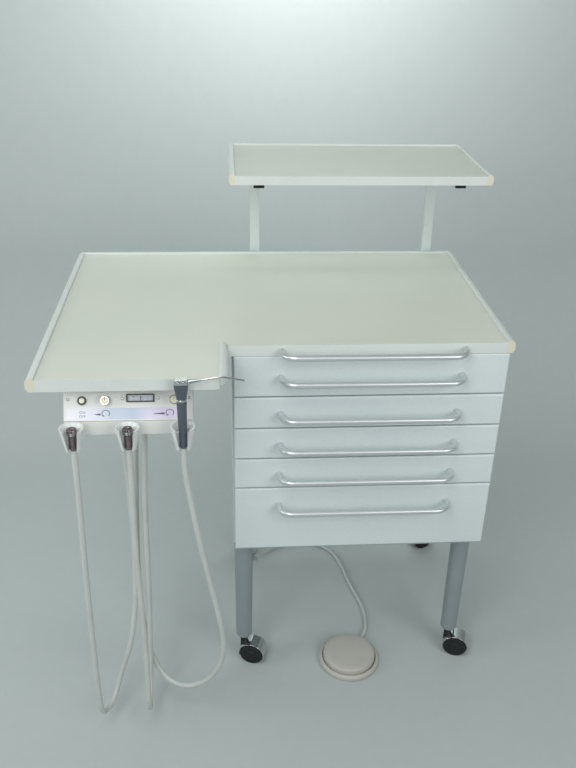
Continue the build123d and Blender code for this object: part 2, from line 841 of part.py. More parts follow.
with BuildPart() as valve_block:
    with Locations((panel_x, valve_y, housing_floor)):
        Box(*valve_size, align=(Align.CENTER, Align.CENTER, Align.MIN))
    for step in (-1, 0, 1):
        with Locations((panel_x + step * valve_spacing, valve_y, housing_floor + valve_size[2])):
            Cylinder(valve_radius, valve_height, align=(Align.CENTER, Align.CENTER, Align.MIN))
valve_block.part.label = "valve_block"
export_step(valve_block.part, "parts/valve_block.step")

# Glands: three under the control box, and one under the cabinet for the pedal's tube
with BuildPart() as hose_glands:
    for points in routes.values():
        with Locations(points[-1]):
            Cylinder(gland_radius, gland_height, align=(Align.CENTER, Align.CENTER, Align.MIN))
hose_glands.part.label = "hose_glands"
export_step(hose_glands.part, "parts/hose_glands.step")


def build_holder(x, bore):
    """Flared cup on a bracket, open to the front with a slot that widens upwards."""
    axis = Axis((x, holder_y, 0), (0, 0, 1))
    low_slot, high_slot = slot_half_widths
    with BuildPart() as holder:
        with Locations((x, panel_y, housing_bottom - bracket_drop)):
            Box(bracket_width, bracket_reach, bracket_height,
                align=(Align.CENTER, Align.MAX, Align.MAX))
        with BuildSketch(upright(x, holder_y)):
            with BuildLine():
                Polyline((0, holder_bottom), (holder_bottom_radius, holder_bottom),
                         (holder_top_radius, holder_top), (0, holder_top), close=True)
            make_face()
        revolve(axis=axis)
        with BuildSketch(upright(x, holder_y)):
            with BuildLine():
                Polyline((0, holder_bottom), (bore[0], holder_bottom), (bore[1], ledge_z),
                         (cup_radii[0], ledge_z), (cup_radii[1], holder_top), (0, holder_top),
                         close=True)
            make_face()
        revolve(axis=axis, mode=Mode.SUBTRACT)
        with BuildSketch(upright(x, holder_y)):
            with BuildLine():
                Polyline((-low_slot, holder_bottom - 1), (low_slot, holder_bottom - 1),
                         (high_slot, holder_top + 1), (-high_slot, holder_top + 1), close=True)
            make_face()
        extrude(amount=holder_top_radius + 2, mode=Mode.SUBTRACT)
    return holder.part


with BuildPart() as handpiece_holders:
    add(build_holder(holder_x["left"], (connector_bore, connector_bore)))
    add(build_holder(holder_x["middle"], (connector_bore, connector_bore)))
    add(build_holder(holder_x["right"], syringe_bore))
handpiece_holders.part.label = "handpiece_holders"
export_step(handpiece_holders.part, "parts/handpiece_holders.step")

# Connectors: their flange lies just above the holder's ledge
for place in ("left", "middle"):
    x = holder_x[place]
    with BuildPart() as connector:
        with BuildSketch(upright(x, holder_y)):
            with BuildLine():
                Polyline((0, connector_profile[0][1]), *connector_profile,
                         (0, connector_profile[-1][1]), close=True)
            make_face()
        revolve(axis=Axis((x, holder_y, 0), (0, 0, 1)))
    connector.part.label = f"connector_{place}"
    export_step(connector.part, f"parts/connector_{place}.step")

# Three-way syringe: tapered body, ring, flare and head, with a nozzle that swivels in the head
syringe_x = holder_x["right"]
bend = Vector(nozzle_bend[0], holder_y, nozzle_bend[1])
tip = Vector(nozzle_tip[0], holder_y, nozzle_tip[1])
socket = Vector(syringe_x + head_half_width, holder_y, nozzle_socket_z)
nozzle_axis = (bend - socket).normalized()
socket_plane = Plane(origin=socket, x_dir=(0, 1, 0), z_dir=nozzle_axis)
nozzle_start = socket + nozzle_axis * nozzle_gap
button_z = (head_bottom + head_top) / 2
head_front_plane = Plane.XZ.offset(-(holder_y - head_half_depth))
with BuildPart() as syringe_body:
    with BuildSketch(upright(syringe_x, holder_y)):
        with BuildLine():
            Polyline((0, syringe_profile[0][1]), *syringe_profile, (0, head_bottom), close=True)
        make_face()
    revolve(axis=Axis((syringe_x, holder_y, 0), (0, 0, 1)))
    (low_flat, low_z), (high_flat, high_z) = flare_flat
    for side in (-1, 1):
        outside = holder_y + side * 2 * syringe_profile[-1][0]
        with BuildSketch(Plane.YZ.offset(syringe_x)):
            with BuildLine():
                Polyline((holder_y + side * low_flat, low_z), (holder_y + side * high_flat, high_z),
                         (outside, high_z), (outside, low_z), close=True)
            make_face()
        extrude(amount=2 * syringe_profile[-1][0], both=True, mode=Mode.SUBTRACT)
syringe_body.part.label = "syringe_body"
export_step(syringe_body.part, "parts/syringe_body.step")

with BuildPart() as syringe_head:
    with BuildSketch(Plane.XY.offset(head_bottom)):
        with Locations((syringe_x, holder_y)):
            RectangleRounded(2 * head_half_width, 2 * head_half_depth, head_corner)
    extrude(amount=head_top - head_bottom)
    fillet(syringe_head.edges().group_by(Axis.Z)[-1], radius=head_rounding)
    with BuildSketch(socket_plane.offset(nozzle_gap)):
        Circle(spigot_radius + shaft_clearance)
    extrude(amount=-nozzle_gap - nozzle_socket_depth, mode=Mode.SUBTRACT)
    with BuildSketch(head_front_plane):
        with Locations((syringe_x - syringe_button_offset, button_z),
                       (syringe_x + syringe_button_offset, button_z)):
            Circle(syringe_button_radius + button_clearance)
    extrude(amount=-syringe_button_length, mode=Mode.SUBTRACT)
syringe_head.part.label = "syringe_head"
export_step(syringe_head.part, "parts/syringe_head.step")

with BuildPart() as syringe_nozzle:
    with BuildSketch(Plane(origin=nozzle_start, x_dir=(0, 1, 0), z_dir=nozzle_axis)):
        Circle(cone_radius)
    extrude(amount=cone_length, taper=cone_taper)
    with BuildSketch(Plane(origin=nozzle_start, x_dir=(0, 1, 0), z_dir=nozzle_axis)):
        Circle(spigot_radius)
    extrude(amount=-spigot_length)
    with BuildLine():
        FilletPolyline(nozzle_start, bend, tip, radius=nozzle_turn_radius)
    with BuildSketch(Plane(origin=nozzle_start, x_dir=(0, 1, 0), z_dir=nozzle_axis)):
        Circle(nozzle_radius)
    sweep()
syringe_nozzle.part.label = "syringe_nozzle"
export_step(syringe_nozzle.part, "parts/syringe_nozzle.step")

for name, step in (("syringe_air_button", -1), ("syringe_water_button", 1)):
    with BuildPart() as syringe_button:
        with BuildSketch(head_front_plane.offset(syringe_button_front)):
            with Locations((syringe_x + step * syringe_button_offset, button_z)):
                Circle(syringe_button_radius)
        extrude(amount=-syringe_button_length)
        fillet(syringe_button.edges().group_by(Axis.Y)[0], radius=syringe_button_rounding)
    syringe_button.part.label = name
    export_step(syringe_button.part, f"parts/{name}.step")

# Foot control: a low base with a pocket, and a disc that is pressed down into it
stub_end = Vector(*routes["pedal_tube"][0])
exit_way = (Vector(*routes["pedal_tube"][1]) - stub_end).normalized()
with BuildPart() as pedal_base:
    with BuildSketch(upright(pedal_x, pedal_y)):
        with BuildLine():
            Polyline((0, 0), (pedal_radius - pedal_foot_bevel, 0), (pedal_radius, pedal_foot_bevel),
                     (pedal_radius, pedal_side_top), (pedal_radius - pedal_slope, pedal_rim_top),
                     (pedal_pocket_radius, pedal_rim_top), (pedal_pocket_radius, pedal_floor),
                     (0, pedal_floor), close=True)
        make_face()
    revolve(axis=Axis((pedal_x, pedal_y, 0), (0, 0, 1)))
    with BuildSketch(Plane(origin=stub_end, x_dir=(0, 0, 1), z_dir=exit_way)):
        Circle(pedal_stub_radius)
    extrude(amount=-pedal_stub_length)
pedal_base.part.label = "pedal_base"
export_step(pedal_base.part, "parts/pedal_base.step")

dome_radius = (dome_reach**2 + dome_rise**2) / (2 * dome_rise)
dome_middle = disc_top - dome_radius + sqrt(dome_radius**2 - (dome_reach / 2) ** 2)
with BuildPart() as pedal_disc:
    with BuildSketch(upright(pedal_x, pedal_y)):
        with BuildLine():
            Polyline((0, disc_top), (0, disc_bottom + disc_skirt),
                     (disc_radius - disc_skirt, disc_bottom + disc_skirt),
                     (disc_radius - disc_skirt, disc_bottom), (disc_radius, disc_bottom),
                     (disc_radius, disc_top - dome_rise - disc_shoulder),
                     (dome_reach, disc_top - dome_rise))
            ThreePointArc((dome_reach, disc_top - dome_rise), (dome_reach / 2, dome_middle),
                          (0, disc_top))
        make_face()
    revolve(axis=Axis((pedal_x, pedal_y, 0), (0, 0, 1)))
pedal_disc.part.label = "pedal_disc"
export_step(pedal_disc.part, "parts/pedal_disc.step")


def bend_radii(points):
    """Largest arc for each corner of a route, taking up run_share of its shorter run."""
    run_share = 0.45
    radii = []
    for before, corner, after in zip(points, points[1:], points[2:]):
        run_in = Vector(*corner) - Vector(*before)
        run_out = Vector(*after) - Vector(*corner)
        turn_angle = radians(run_in.get_angle(run_out))
        radii.append(run_share * min(run_in.length, run_out.length) / tan(turn_angle / 2))
    return radii


for name, points in routes.items():
    diameter = tube_diameter if name == "pedal_tube" else hose_diameter
    radii = bend_radii(points)
    with BuildPart() as cord:
        with BuildLine() as path:
            FilletPolyline(*points, radius=radii)
        start_way = (Vector(*points[1]) - Vector(*points[0])).normalized()
        with BuildSketch(Plane(origin=points[0], z_dir=start_way)):
            Circle(diameter / 2)
        sweep()
    length = sum(edge.length for edge in path.edges())
    section = pi * (diameter / 2) ** 2
    print(name, "length", round(length), "volume ratio", round(cord.part.volume / (section * length), 4))
    print("   radii", [round(r) for r in radii])
    cord.part.label = name
    export_step(cord.part, f"parts/{name}.step")
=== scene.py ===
# %% [markdown]
# # A podiatry cart unit, dressed in Blender
# The real unit is a white cabinet of five drawers on four castered legs. Its worktop grows a
# wing to the left, and a control box with three handpieces hangs under that wing. The CAD
# model already holds the exact sizes, so this lesson keeps most of its solids and gives them
# real finishes, and it rebuilds the small things that the eye goes to: hoses, casters,
# knobs, gauge and handpieces.

# %% Load the frame
import bpy
import bmesh
import math
from mathutils import Matrix, Vector


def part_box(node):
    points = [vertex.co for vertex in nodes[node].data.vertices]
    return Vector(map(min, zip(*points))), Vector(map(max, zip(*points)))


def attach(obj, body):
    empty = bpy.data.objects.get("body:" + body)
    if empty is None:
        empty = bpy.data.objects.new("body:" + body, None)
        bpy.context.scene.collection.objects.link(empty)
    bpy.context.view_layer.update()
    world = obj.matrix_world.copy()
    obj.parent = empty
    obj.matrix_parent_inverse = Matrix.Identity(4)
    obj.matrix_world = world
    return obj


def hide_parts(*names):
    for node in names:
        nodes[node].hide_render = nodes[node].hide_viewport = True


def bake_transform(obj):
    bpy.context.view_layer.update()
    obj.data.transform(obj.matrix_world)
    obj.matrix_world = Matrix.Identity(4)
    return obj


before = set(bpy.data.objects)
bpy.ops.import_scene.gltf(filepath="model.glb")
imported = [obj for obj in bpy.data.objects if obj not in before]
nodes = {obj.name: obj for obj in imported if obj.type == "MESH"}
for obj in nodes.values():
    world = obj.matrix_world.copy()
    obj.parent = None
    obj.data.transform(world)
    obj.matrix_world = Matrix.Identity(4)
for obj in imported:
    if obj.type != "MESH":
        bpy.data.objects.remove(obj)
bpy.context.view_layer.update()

# %% [markdown]
# ## One way of measuring
# Every size below is in millimetres, as on a drawing. X runs from the worktop's left edge, Y
# from the drawers' front face towards the back, and Z up from the floor. One function turns
# such a point into the frame's metres, so a number can be compared with the drawing at once.

# %% Points from the drawing
MM = 0.001
LEFT_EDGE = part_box("worktop_rim")[0].x
FRONT_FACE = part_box("drawer_1_front")[0].y


def at(x, y, z):
    """A point of the drawing, in the frame's metres."""
    return Vector((LEFT_EDGE + x * MM, FRONT_FACE + y * MM, z * MM))


print("left edge", round(LEFT_EDGE, 5), "front face", round(FRONT_FACE, 5))

# %% [markdown]
# ## The camera
# The photograph was taken standing up, a metre and a half in front of the unit, looking down
# by 28 degrees. The angles come from the lines of the worktop and the drawers, which fix the
# lens too. The camera's matrix is written out from its three directions, so that its small
# tilt to one side is in it.

# %% Camera
YAW, PITCH, ROLL = math.radians(4.58), math.radians(28.06), math.radians(1.31)
CAMERA_SPOT = (346.9, -1453.0, 1569.6)
LENS, SENSOR_WIDTH = 40.21, 36


def in_scene(name, data):
    """A new object of that data, put in the scene."""
    made = bpy.data.objects.new(name, data)
    bpy.context.scene.collection.objects.link(made)
    return made


ahead = Vector((math.sin(YAW) * math.cos(PITCH), math.cos(YAW) * math.cos(PITCH), -math.sin(PITCH)))
level_right = Vector((math.cos(YAW), -math.sin(YAW), 0))
level_up = level_right.cross(ahead)
camera_right = math.cos(ROLL) * level_right + math.sin(ROLL) * level_up
camera_up = -math.sin(ROLL) * level_right + math.cos(ROLL) * level_up

camera_data = bpy.data.cameras.new("camera")
camera_data.lens = LENS
camera_data.sensor_width = SENSOR_WIDTH
camera = in_scene("camera", camera_data)
turn = Matrix((camera_right, camera_up, -ahead)).transposed().to_4x4()
camera.matrix_world = Matrix.Translation(at(*CAMERA_SPOT)) @ turn
bpy.context.scene.camera = camera
print("camera at", tuple(round(v, 3) for v in camera.location))

# %% [markdown]
# ## Colour and the node helper
# Colours are written as on a paint card, in sRGB hex, and Cycles wants them linear. The
# second function adds one node: it sets the node's own settings, then its inputs. An input
# that is given an output is linked to it, and a node there stands for its first output.

# %% Helpers for materials
def paint(code):
    """An sRGB hex colour as the linear RGBA that the shader takes."""
    channels = [int(code[i:i + 2], 16) / 255 for i in (1, 3, 5)]
    return [c / 12.92 if c <= 0.04045 else ((c + 0.055) / 1.055) ** 2.4 for c in channels] + [1]


def add_node(tree, kind, inputs=None, **settings):
    """Adds a node to the tree, with its settings and its inputs set or linked."""
    made = tree.nodes.new(kind)
    for key, value in settings.items():
        setattr(made, key, value)
    for key, value in (inputs or {}).items():
        if isinstance(value, bpy.types.Node):
            value = value.outputs[0]
        if isinstance(value, bpy.types.NodeSocket):
            tree.links.new(value, made.inputs[key])
        else:
            made.inputs[key].default_value = value
    return made


# %% [markdown]
# ## One recipe for a made surface
# Most of this unit is laminate, paint, moulded plastic and metal. Each has a fine texture
# from the way it was made, and broad faint clouds from handling and cleaning. The recipe
# has both: a fine noise at a grain size in millimetres that moves the colour, roughness and
# height, and a broad one that only moves the colour. A brushed metal uses the same grain,
# stretched along the brushing. Noise reads Object coordinates, so nothing slides. Its values
# crowd round the middle, so a narrow range of them is spread over the whole change of
# colour, and a wider one over the change of gloss.

# %% A made surface
COLOUR_LOW, COLOUR_HIGH = 0.35, 0.65
GLOSS_LOW, GLOSS_HIGH = 0.3, 0.7


def surface(name, colour, second, roughness, grain=1.0, relief=0.02, stretch=(1, 1, 1),
            uneven=0.08, clouds=0.25, cloud_size=180, **shader):
    """A finish with a fine grain and broad clouds. Grain, relief and cloud size are in mm."""
    material = bpy.data.materials.new(name)
    material.use_nodes = True
    tree = material.node_tree
    tree.nodes.clear()
    place = add_node(tree, "ShaderNodeTexCoord").outputs["Object"]
    scale = [1000 / grain * s for s in stretch]
    fine_place = add_node(tree, "ShaderNodeMapping", {"Vector": place, "Scale": scale})
    fine = add_node(tree, "ShaderNodeTexNoise",
                    {"Vector": fine_place, "Scale": 1.0, "Detail": 3.0, "Roughness": 0.6})
    broad = add_node(tree, "ShaderNodeTexNoise",
                     {"Vector": place, "Scale": 1000 / cloud_size, "Detail": 4.0, "Roughness": 0.55})
    both = add_node(tree, "ShaderNodeMix",
                    {0: clouds, 2: fine.outputs["Fac"], 3: broad.outputs["Fac"]}, data_type="FLOAT")
    amount = add_node(tree, "ShaderNodeMapRange",
                      {"Value": both, "From Min": COLOUR_LOW, "From Max": COLOUR_HIGH})
    tint = add_node(tree, "ShaderNodeMix", {0: amount, 6: paint(colour), 7: paint(second)},
                    data_type="RGBA")
    gloss = add_node(tree, "ShaderNodeMapRange",
                     {"Value": both, "From Min": GLOSS_LOW, "From Max": GLOSS_HIGH,
                      "To Min": roughness - uneven / 2, "To Max": roughness + uneven / 2})
    bump = add_node(tree, "ShaderNodeBump",
                    {"Height": fine.outputs["Fac"], "Strength": 1.0, "Distance": relief * MM})
    sockets = {"Base Color": tint.outputs[2], "Roughness": gloss, "Normal": bump}
    sockets.update({key.replace("_", " "): value for key, value in shader.items()})
    body = add_node(tree, "ShaderNodeBsdfPrincipled", sockets)
    add_node(tree, "ShaderNodeOutputMaterial", {"Surface": body})
    return material


# %% [markdown]
# ## The finishes
# ** Laminate** on the worktop and the shelf is melamine paper pressed over board: warm white,
# with a faint pearl grain of a millimetre or two and a satin sheen. The shelf's copy is
# painted a shade darker, as painted shade. The **drawer fronts** and carcass have the same
# paper, painted a cooler white as painted shade on upright faces, and the base panel has it
# in grey. The **edging** is a plastic lipping, whiter and smoother. The **legs** carry a
# silver powder coat, whose flakes show as a fine speckle, and the handles are **anodised
# aluminium**, drawn along their length.

# %% Board, edging and paint
pearl = {"grain": 1.6, "relief": 0.015, "clouds": 0.5, "cloud_size": 260, "Coat_Weight": 0.08}
laminate = surface("pearl_melamine_laminate", "#d9ddd2", "#d0d6c8", 0.42, **pearl)
# The shelf's laminate is a darker copy of the worktop's: the darkness is painted shade.
shelf_laminate_painted_shade = surface("pearl_melamine_shelf_painted_shade", "#cfd4c8", "#c6ccbe", 0.42, **pearl)
# The fronts' and carcass's cooler white is painted shade on upright faces; the melamine is the
# worktop's.
front_laminate_shade_tinted = surface("white_melamine_fronts_shade_tinted", "#d6dfdf", "#ccd6d7", 0.36, grain=2.2,
                         relief=0.012, clouds=0.45, cloud_size=220, Coat_Weight=0.1)
edging = surface("white_abs_edging", "#d8dfdb", "#cfd6d2", 0.34, grain=2.5, clouds=0.4,
                 cloud_size=120)
base_laminate = surface("grey_melamine_base", "#b4bcc0", "#aab3b8", 0.45, grain=2.0, relief=0.015)
leg_coat = surface("silver_powder_coat", "#a2acaf", "#929da0", 0.38, grain=0.7, relief=0.03,
                   clouds=0.35, cloud_size=90, Metallic=0.45)
drawer_coat = surface("light_grey_powder_coat", "#c3c8c9", "#b7bdbf", 0.5, grain=0.8, relief=0.03)
panel_coat = surface("warm_white_powder_coat", "#e5e6e2", "#dadddb", 0.4, grain=0.9)
print("board and paint finishes made")

# %% [markdown]
# **Chrome** is a mirror: it takes its whole look from what stands round it, so it only needs
# a low roughness and a trace of haze. The connectors are a darker, smoked chrome. **Zinc**
# on the runners and screws is duller, and the brushed finishes stretch their grain along one
# direction. The syringe's aluminium is dyed slate blue and isn't brushed.

# %% Metals
anodised = surface("satin_anodised_aluminium", "#dadfdf", "#cfd5d6", 0.36, grain=0.5,
                   stretch=(0.04, 1, 1), relief=0.004, clouds=0.3, Metallic=0.72)
# The posts' colour, lighter than the handles' aluminium, is painted light; their rougher, less metallic
# finish is their own.
anodised_post_painted_light = surface("matt_anodised_posts_painted_light", "#e0e8e6", "#d8e0df", 0.48, grain=0.5,
                        stretch=(1, 1, 0.04), relief=0.004, clouds=0.3, Metallic=0.55)
chrome = surface("bright_chrome_plate", "#d6d8d8", "#cdd0d0", 0.09, grain=6, relief=0.003,
                 uneven=0.05, clouds=0.5, cloud_size=20, Metallic=1.0)
smoked_chrome = surface("smoked_chrome_plate", "#8e8787", "#746d6e", 0.2, grain=3, relief=0.004,
                        clouds=0.5, cloud_size=15, Metallic=1.0)
zinc = surface("zinc_plated_steel", "#b9bdbd", "#a8adae", 0.36, grain=1.2, stretch=(1, 0.06, 1),
               relief=0.01, Metallic=1.0)
slate_anodised = surface("slate_anodised_aluminium", "#6a737c", "#5f6871", 0.36, grain=0.6,
                         relief=0.01, clouds=0.4, cloud_size=30, Metallic=0.6)
print("metal finishes made")

# %% [markdown]
# **Plastics**: the holders and the pedal are moulded ABS, with the faint orange-peel of a
# sparked mould. The wheels are black nylon, which picks up dust. The hoses are soft PVC, a
# light grey that lets a little light in, so they get some subsurface scatter. Lacquer and
# screen ink lie in thin films, so they have hardly any relief.

# %% Plastics
holder_abs = surface("white_moulded_abs", "#dfe3e1", "#d6dbd9", 0.32, grain=1.2, clouds=0.4,
                     cloud_size=40, Coat_Weight=0.15)
black_abs = surface("black_moulded_abs", "#18191b", "#101113", 0.42, grain=0.8)
bezel_abs = surface("charcoal_moulded_abs", "#43473f", "#383c36", 0.38, grain=0.8)
black_nylon = surface("dusty_black_nylon", "#0d0e11", "#17181b", 0.46, grain=0.9, relief=0.03,
                      clouds=0.6, cloud_size=14)
hose_pvc = surface("soft_grey_pvc", "#c4cac6", "#b9bfbb", 0.4, grain=2.5, clouds=0.6,
                   cloud_size=60, Subsurface_Weight=0.06)
pedal_abs = surface("warm_grey_textured_abs", "#bab9b1", "#afaea6", 0.5, grain=0.9, relief=0.05,
                    clouds=0.35, cloud_size=60)
cream_abs = surface("cream_glossy_abs", "#e3dfc4", "#d8d3b4", 0.22, grain=1.5, relief=0.01,
                    Coat_Weight=0.3)
dial_card = surface("pale_blue_dial_card", "#e2eef5", "#d6e4ec", 0.5, grain=0.6, relief=0.005)
red_lacquer = surface("red_lacquer", "#a3241c", "#8f1e18", 0.35, relief=0.005)
violet_ink = surface("violet_screen_ink", "#6d5a86", "#64527c", 0.5, grain=0.5, relief=0.002)
dark_ink = surface("dark_screen_ink", "#2a2f38", "#242931", 0.5, grain=0.5, relief=0.002)
print("plastic finishes made")

# %% Finishes for the CAD solids that stay as they are
kept = {
    laminate: ["worktop_board"],
    shelf_laminate_painted_shade: ["shelf_board"],
    edging: ["worktop_rim", "shelf_rim"],
    front_laminate_shade_tinted: ["carcass_panels"] + [f"drawer_{k}_front" for k in range(1, 6)],
    base_laminate: ["base_panel"],
    leg_coat: ["legs"],
    drawer_coat: [f"drawer_{k}_box" for k in range(1, 6)],
    panel_coat: ["control_panel", "control_housing", "holder_bar"],
    anodised: ["push_handle", "valve_block"] + [f"drawer_{k}_handle" for k in range(1, 6)],
    anodised_post_painted_light: ["shelf_frame"],
    zinc: ["drawer_runners"],
    chrome: ["syringe_head", "syringe_nozzle", "syringe_air_button", "syringe_water_button"],
    black_abs: ["arm_caps", "hose_glands"],
    bezel_abs: ["panel_bezels"],
    dial_card: ["gauge_case"],
    red_lacquer: ["gauge_needle"],
    holder_abs: ["handpiece_holders"],
    cream_abs: ["power_button"],
}
for material, names in kept.items():
    for name in names:
        mesh = nodes[name].data
        mesh.materials.clear()
        mesh.materials.append(material)
print("finished", sum(len(names) for names in kept.values()), "CAD solids")

# %% [markdown]
# ## Hoses
# Three hoses hang in long loops: each leaves a gland under the control box, drops almost to
# the floor, turns and climbs to its handpiece. The foot control's air tube lies on the floor
# and climbs to a gland under the cabinet. A hose is a fixed length of something soft, so it is
# one smooth NURBS line led by listed points, given a round section. The order is set
# after the points are there, since before them Blender keeps it at straight runs. The air
# tube rides on the cabinet; the three hoses stay where they hang.

# %% Hose routes
hose_routes = {
    "hose_left": [
        (73.5, -145, 745), (73.5, -145, 690), (71.8, -143, 606), (69.1, -139, 504),
        (66.5, -134.5, 397), (65, -130, 290), (64, -130, 195), (64.5, -129.5, 125),
        (65.5, -128.5, 66), (73.5, -105, 41), (85.5, -72.5, 41), (94, -49.5, 66),
        (108, -46, 112), (126, -43, 168), (139, -40, 240), (147, -36, 325),
        (151, -30, 430), (149, -25, 540), (146, -22, 640), (144, -20, 710), (144, -20, 773),
    ],
    "hose_middle": [
        (170.3, -145, 745), (170.3, -145, 690), (169.2, -143, 606), (166.8, -139, 510),
        (168.5, -134.5, 403), (170, -129, 290), (170, -128, 190), (169, -128.5, 125),
        (168.5, -128, 71), (167, -103.5, 46), (165, -68.5, 46), (165, -44, 71),
        (167, -41, 120), (170, -39, 200), (174, -35, 310), (176, -31, 430),
        (178, -26, 550), (183, -22, 640), (186, -20, 710), (186, -20, 773),
    ],
    "hose_right": [
        (267.1, -145, 745), (267.1, -145, 698), (273.5, -143, 646), (283.3, -140, 570),
        (297.2, -136, 479), (313, -130, 385), (326, -126, 310), (333, -119, 238),
        (325, -107, 172), (301, -94, 117), (264, -79, 78), (223.5, -59, 62),
        (186.5, -34, 79), (163.5, -22, 141), (153, -15, 238), (151, -12, 362),
        (156, -8, 496), (162, 0, 620), (166, 10, 710), (166, 10, 773),
    ],
    "pedal_tube": [
        (674.5, 127.5, 7), (684, 143, 7), (690, 172, 5), (692, 209.5, 4.5),
        (686, 252, 4.5), (669, 316, 4.5), (658, 384, 4.5), (642, 449, 4.5),
        (608, 489.5, 4.5), (550, 502, 4.5), (492, 494.5, 7), (454, 475.5, 26),
        (440, 463.5, 70), (438, 459.5, 140), (440, 461, 225), (438, 459.5, 305),
        (438, 459.5, 360),
    ],
}
# Of each: its diameter in mm, its length in m, how it lies, and the body at its end.
hose_facts = {
    "hose_left": (11.5, 1.48, "hanging", "handpiece_left"),
    "hose_middle": (11.5, 1.465, "hanging", "handpiece_middle"),
    "hose_right": (11.5, 1.475, "hanging", "syringe"),
    "pedal_tube": (8, 0.873, "loose", "cabinet"),
}
print("routes for", ", ".join(hose_routes))


def plain_mesh(thing):
    """What an object looks like now, as a mesh of its own."""
    return bpy.data.meshes.new_from_object(thing.evaluated_get(bpy.context.evaluated_depsgraph_get()))


def smooth(mesh):
    """Shades every face of the mesh smooth."""
    mesh.polygons.foreach_set("use_smooth", [True] * len(mesh.polygons))


for name, (diameter, length, lay, end_body) in hose_facts.items():
    points = [at(*point) for point in reversed(hose_routes[name])]
    curve = bpy.data.curves.new(name + "_line", "CURVE")
    curve.dimensions = "3D"
    spline = curve.splines.new("NURBS")
    spline.points.add(len(points) - 1)
    for spot, point in zip(spline.points, points):
        spot.co = (*point, 1)
    spline.order_u = 3
    spline.use_endpoint_u = True
    spline.resolution_u = 10
    guide = in_scene(name + "_line", curve)
    followed = [vert.co.copy() for vert in plain_mesh(guide).vertices]
    curve.bevel_depth = diameter / 2 * MM
    curve.bevel_resolution = 6
    curve.use_fill_caps = True
    tube = plain_mesh(guide)
    bpy.data.objects.remove(guide)
    tube.materials.clear()
    tube.materials.append(hose_pvc)
    smooth(tube)
    piece = in_scene(name + "_tube", tube)
    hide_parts(name)
    if end_body == "cabinet":
        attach(piece, "cabinet")
    else:
        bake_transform(piece)
    drawn = sum((q - p).length for p, q in zip(followed, followed[1:]))
    print(name, len(points), "points,", round(drawn, 3), "m long")

# %% [markdown]
# ## The sloping panel
# The control panel leans back by 28 degrees, like a lectern, so that its face can be read by
# someone standing. Everything on it is placed by one function: across as on the drawing, then
# up the slope from the panel's foot, then out of its face. A matrix turns flat things, such
# as words and screw heads, to lie on it.

# %% Points on the panel
PANEL_LEAN = math.radians(28)
PANEL_FRONT, PANEL_FOOT = -118, 785
UPSLOPE = Vector((0, math.sin(PANEL_LEAN), math.cos(PANEL_LEAN)))
OUTWARDS = Vector((0, -math.cos(PANEL_LEAN), math.sin(PANEL_LEAN)))
PANEL_STAND = Matrix((Vector((1, 0, 0)), UPSLOPE, OUTWARDS)).transposed().to_4x4()


def on_panel(x, height, out=0):
    """A point on the panel's face: height runs up the slope, out stands off it, all in mm."""
    return at(x, PANEL_FRONT, PANEL_FOOT) + (UPSLOPE * height + OUTWARDS * out) * MM


print("panel leans", round(math.degrees(PANEL_LEAN)), "degrees")

# %% [markdown]
# ## Turned parts
# Wheels, knobs, connectors and the foot control are all made on a lathe or in a round mould,
# so they share one helper: a profile of radius and distance pairs is turned round a line.
# It writes into a mesh that is still open for editing, so several turned bodies can make
# one piece. A second helper adds a box that lies on the panel. A third closes the piece: it
# smooths it, keeps real edges sharp, puts it on the body it rides on, and hides the CAD
# solids it stands for.

# %% Turning and finishing
SHARP_EDGE, BEVELLED_EDGE = math.radians(32), math.radians(40)


def turn_into(shape, profile, foot, along=(0, 0, 1), sides=56):
    """Adds a closed body to shape: (radius, distance) pairs in mm, turned from foot along a line."""
    rings = []
    for radius, distance in profile:
        if radius == 0:
            rings.append([shape.verts.new((0, 0, distance * MM))])
            continue
        corners = [math.tau * k / sides for k in range(sides)]
        rings.append([shape.verts.new((radius * MM * math.cos(a), radius * MM * math.sin(a),
                                       distance * MM)) for a in corners])
    faces = []
    for low, high in zip(rings, rings[1:]):
        for k in range(sides):
            after = (k + 1) % sides
            if len(low) == 1:
                loop = (low[0], high[after], high[k])
            elif len(high) == 1:
                loop = (low[k], low[after], high[0])
            else:
                loop = (low[k], low[after], high[after], high[k])
            faces.append(shape.faces.new(loop))
    stand = Vector(along).to_track_quat("Z", "Y").to_matrix().to_4x4()
    verts = [vert for ring in rings for vert in ring]
    bmesh.ops.transform(shape, matrix=Matrix.Translation(foot) @ stand, verts=verts)
    bmesh.ops.recalc_face_normals(shape, faces=faces)


def box_on_panel(shape, low, high, finish=0):
    """Adds a box to shape, between two points of the panel: across, up the slope and out, in mm."""
    corners = [shape.verts.new(on_panel(x, y, z)) for z in (low[2], high[2])
               for y in (low[1], high[1]) for x in (low[0], high[0])]
    for loop in ((0, 2, 3, 1), (4, 5, 7, 6), (0, 1, 5, 4), (2, 6, 7, 3), (0, 4, 6, 2), (1, 3, 7, 5)):
        shape.faces.new([corners[k] for k in loop]).material_index = finish


def closed(name, shape):
    """Closes shape for editing and returns it as a mesh."""
    mesh = bpy.data.meshes.new(name)
    shape.to_mesh(mesh)
    shape.free()
    return mesh


def close_piece(name, shape, materials, body, replaced=(), bevel=0):
    """Makes the piece from shape, puts it on the body it rides on, and hides the solids it replaces."""
    mesh = closed(name, shape)
    for material in materials:
        mesh.materials.append(material)
    smooth(mesh)
    mesh.set_sharp_from_angle(angle=SHARP_EDGE)
    piece = in_scene(name, mesh)
    if bevel:
        rounding = piece.modifiers.new("rounded_edges", "BEVEL")
        rounding.width = bevel * MM
        rounding.segments = 3
        rounding.limit_method = "ANGLE"
        rounding.angle_limit = BEVELLED_EDGE
        rounding.harden_normals = True
    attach(piece, body)
    if replaced:
        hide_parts(*replaced)


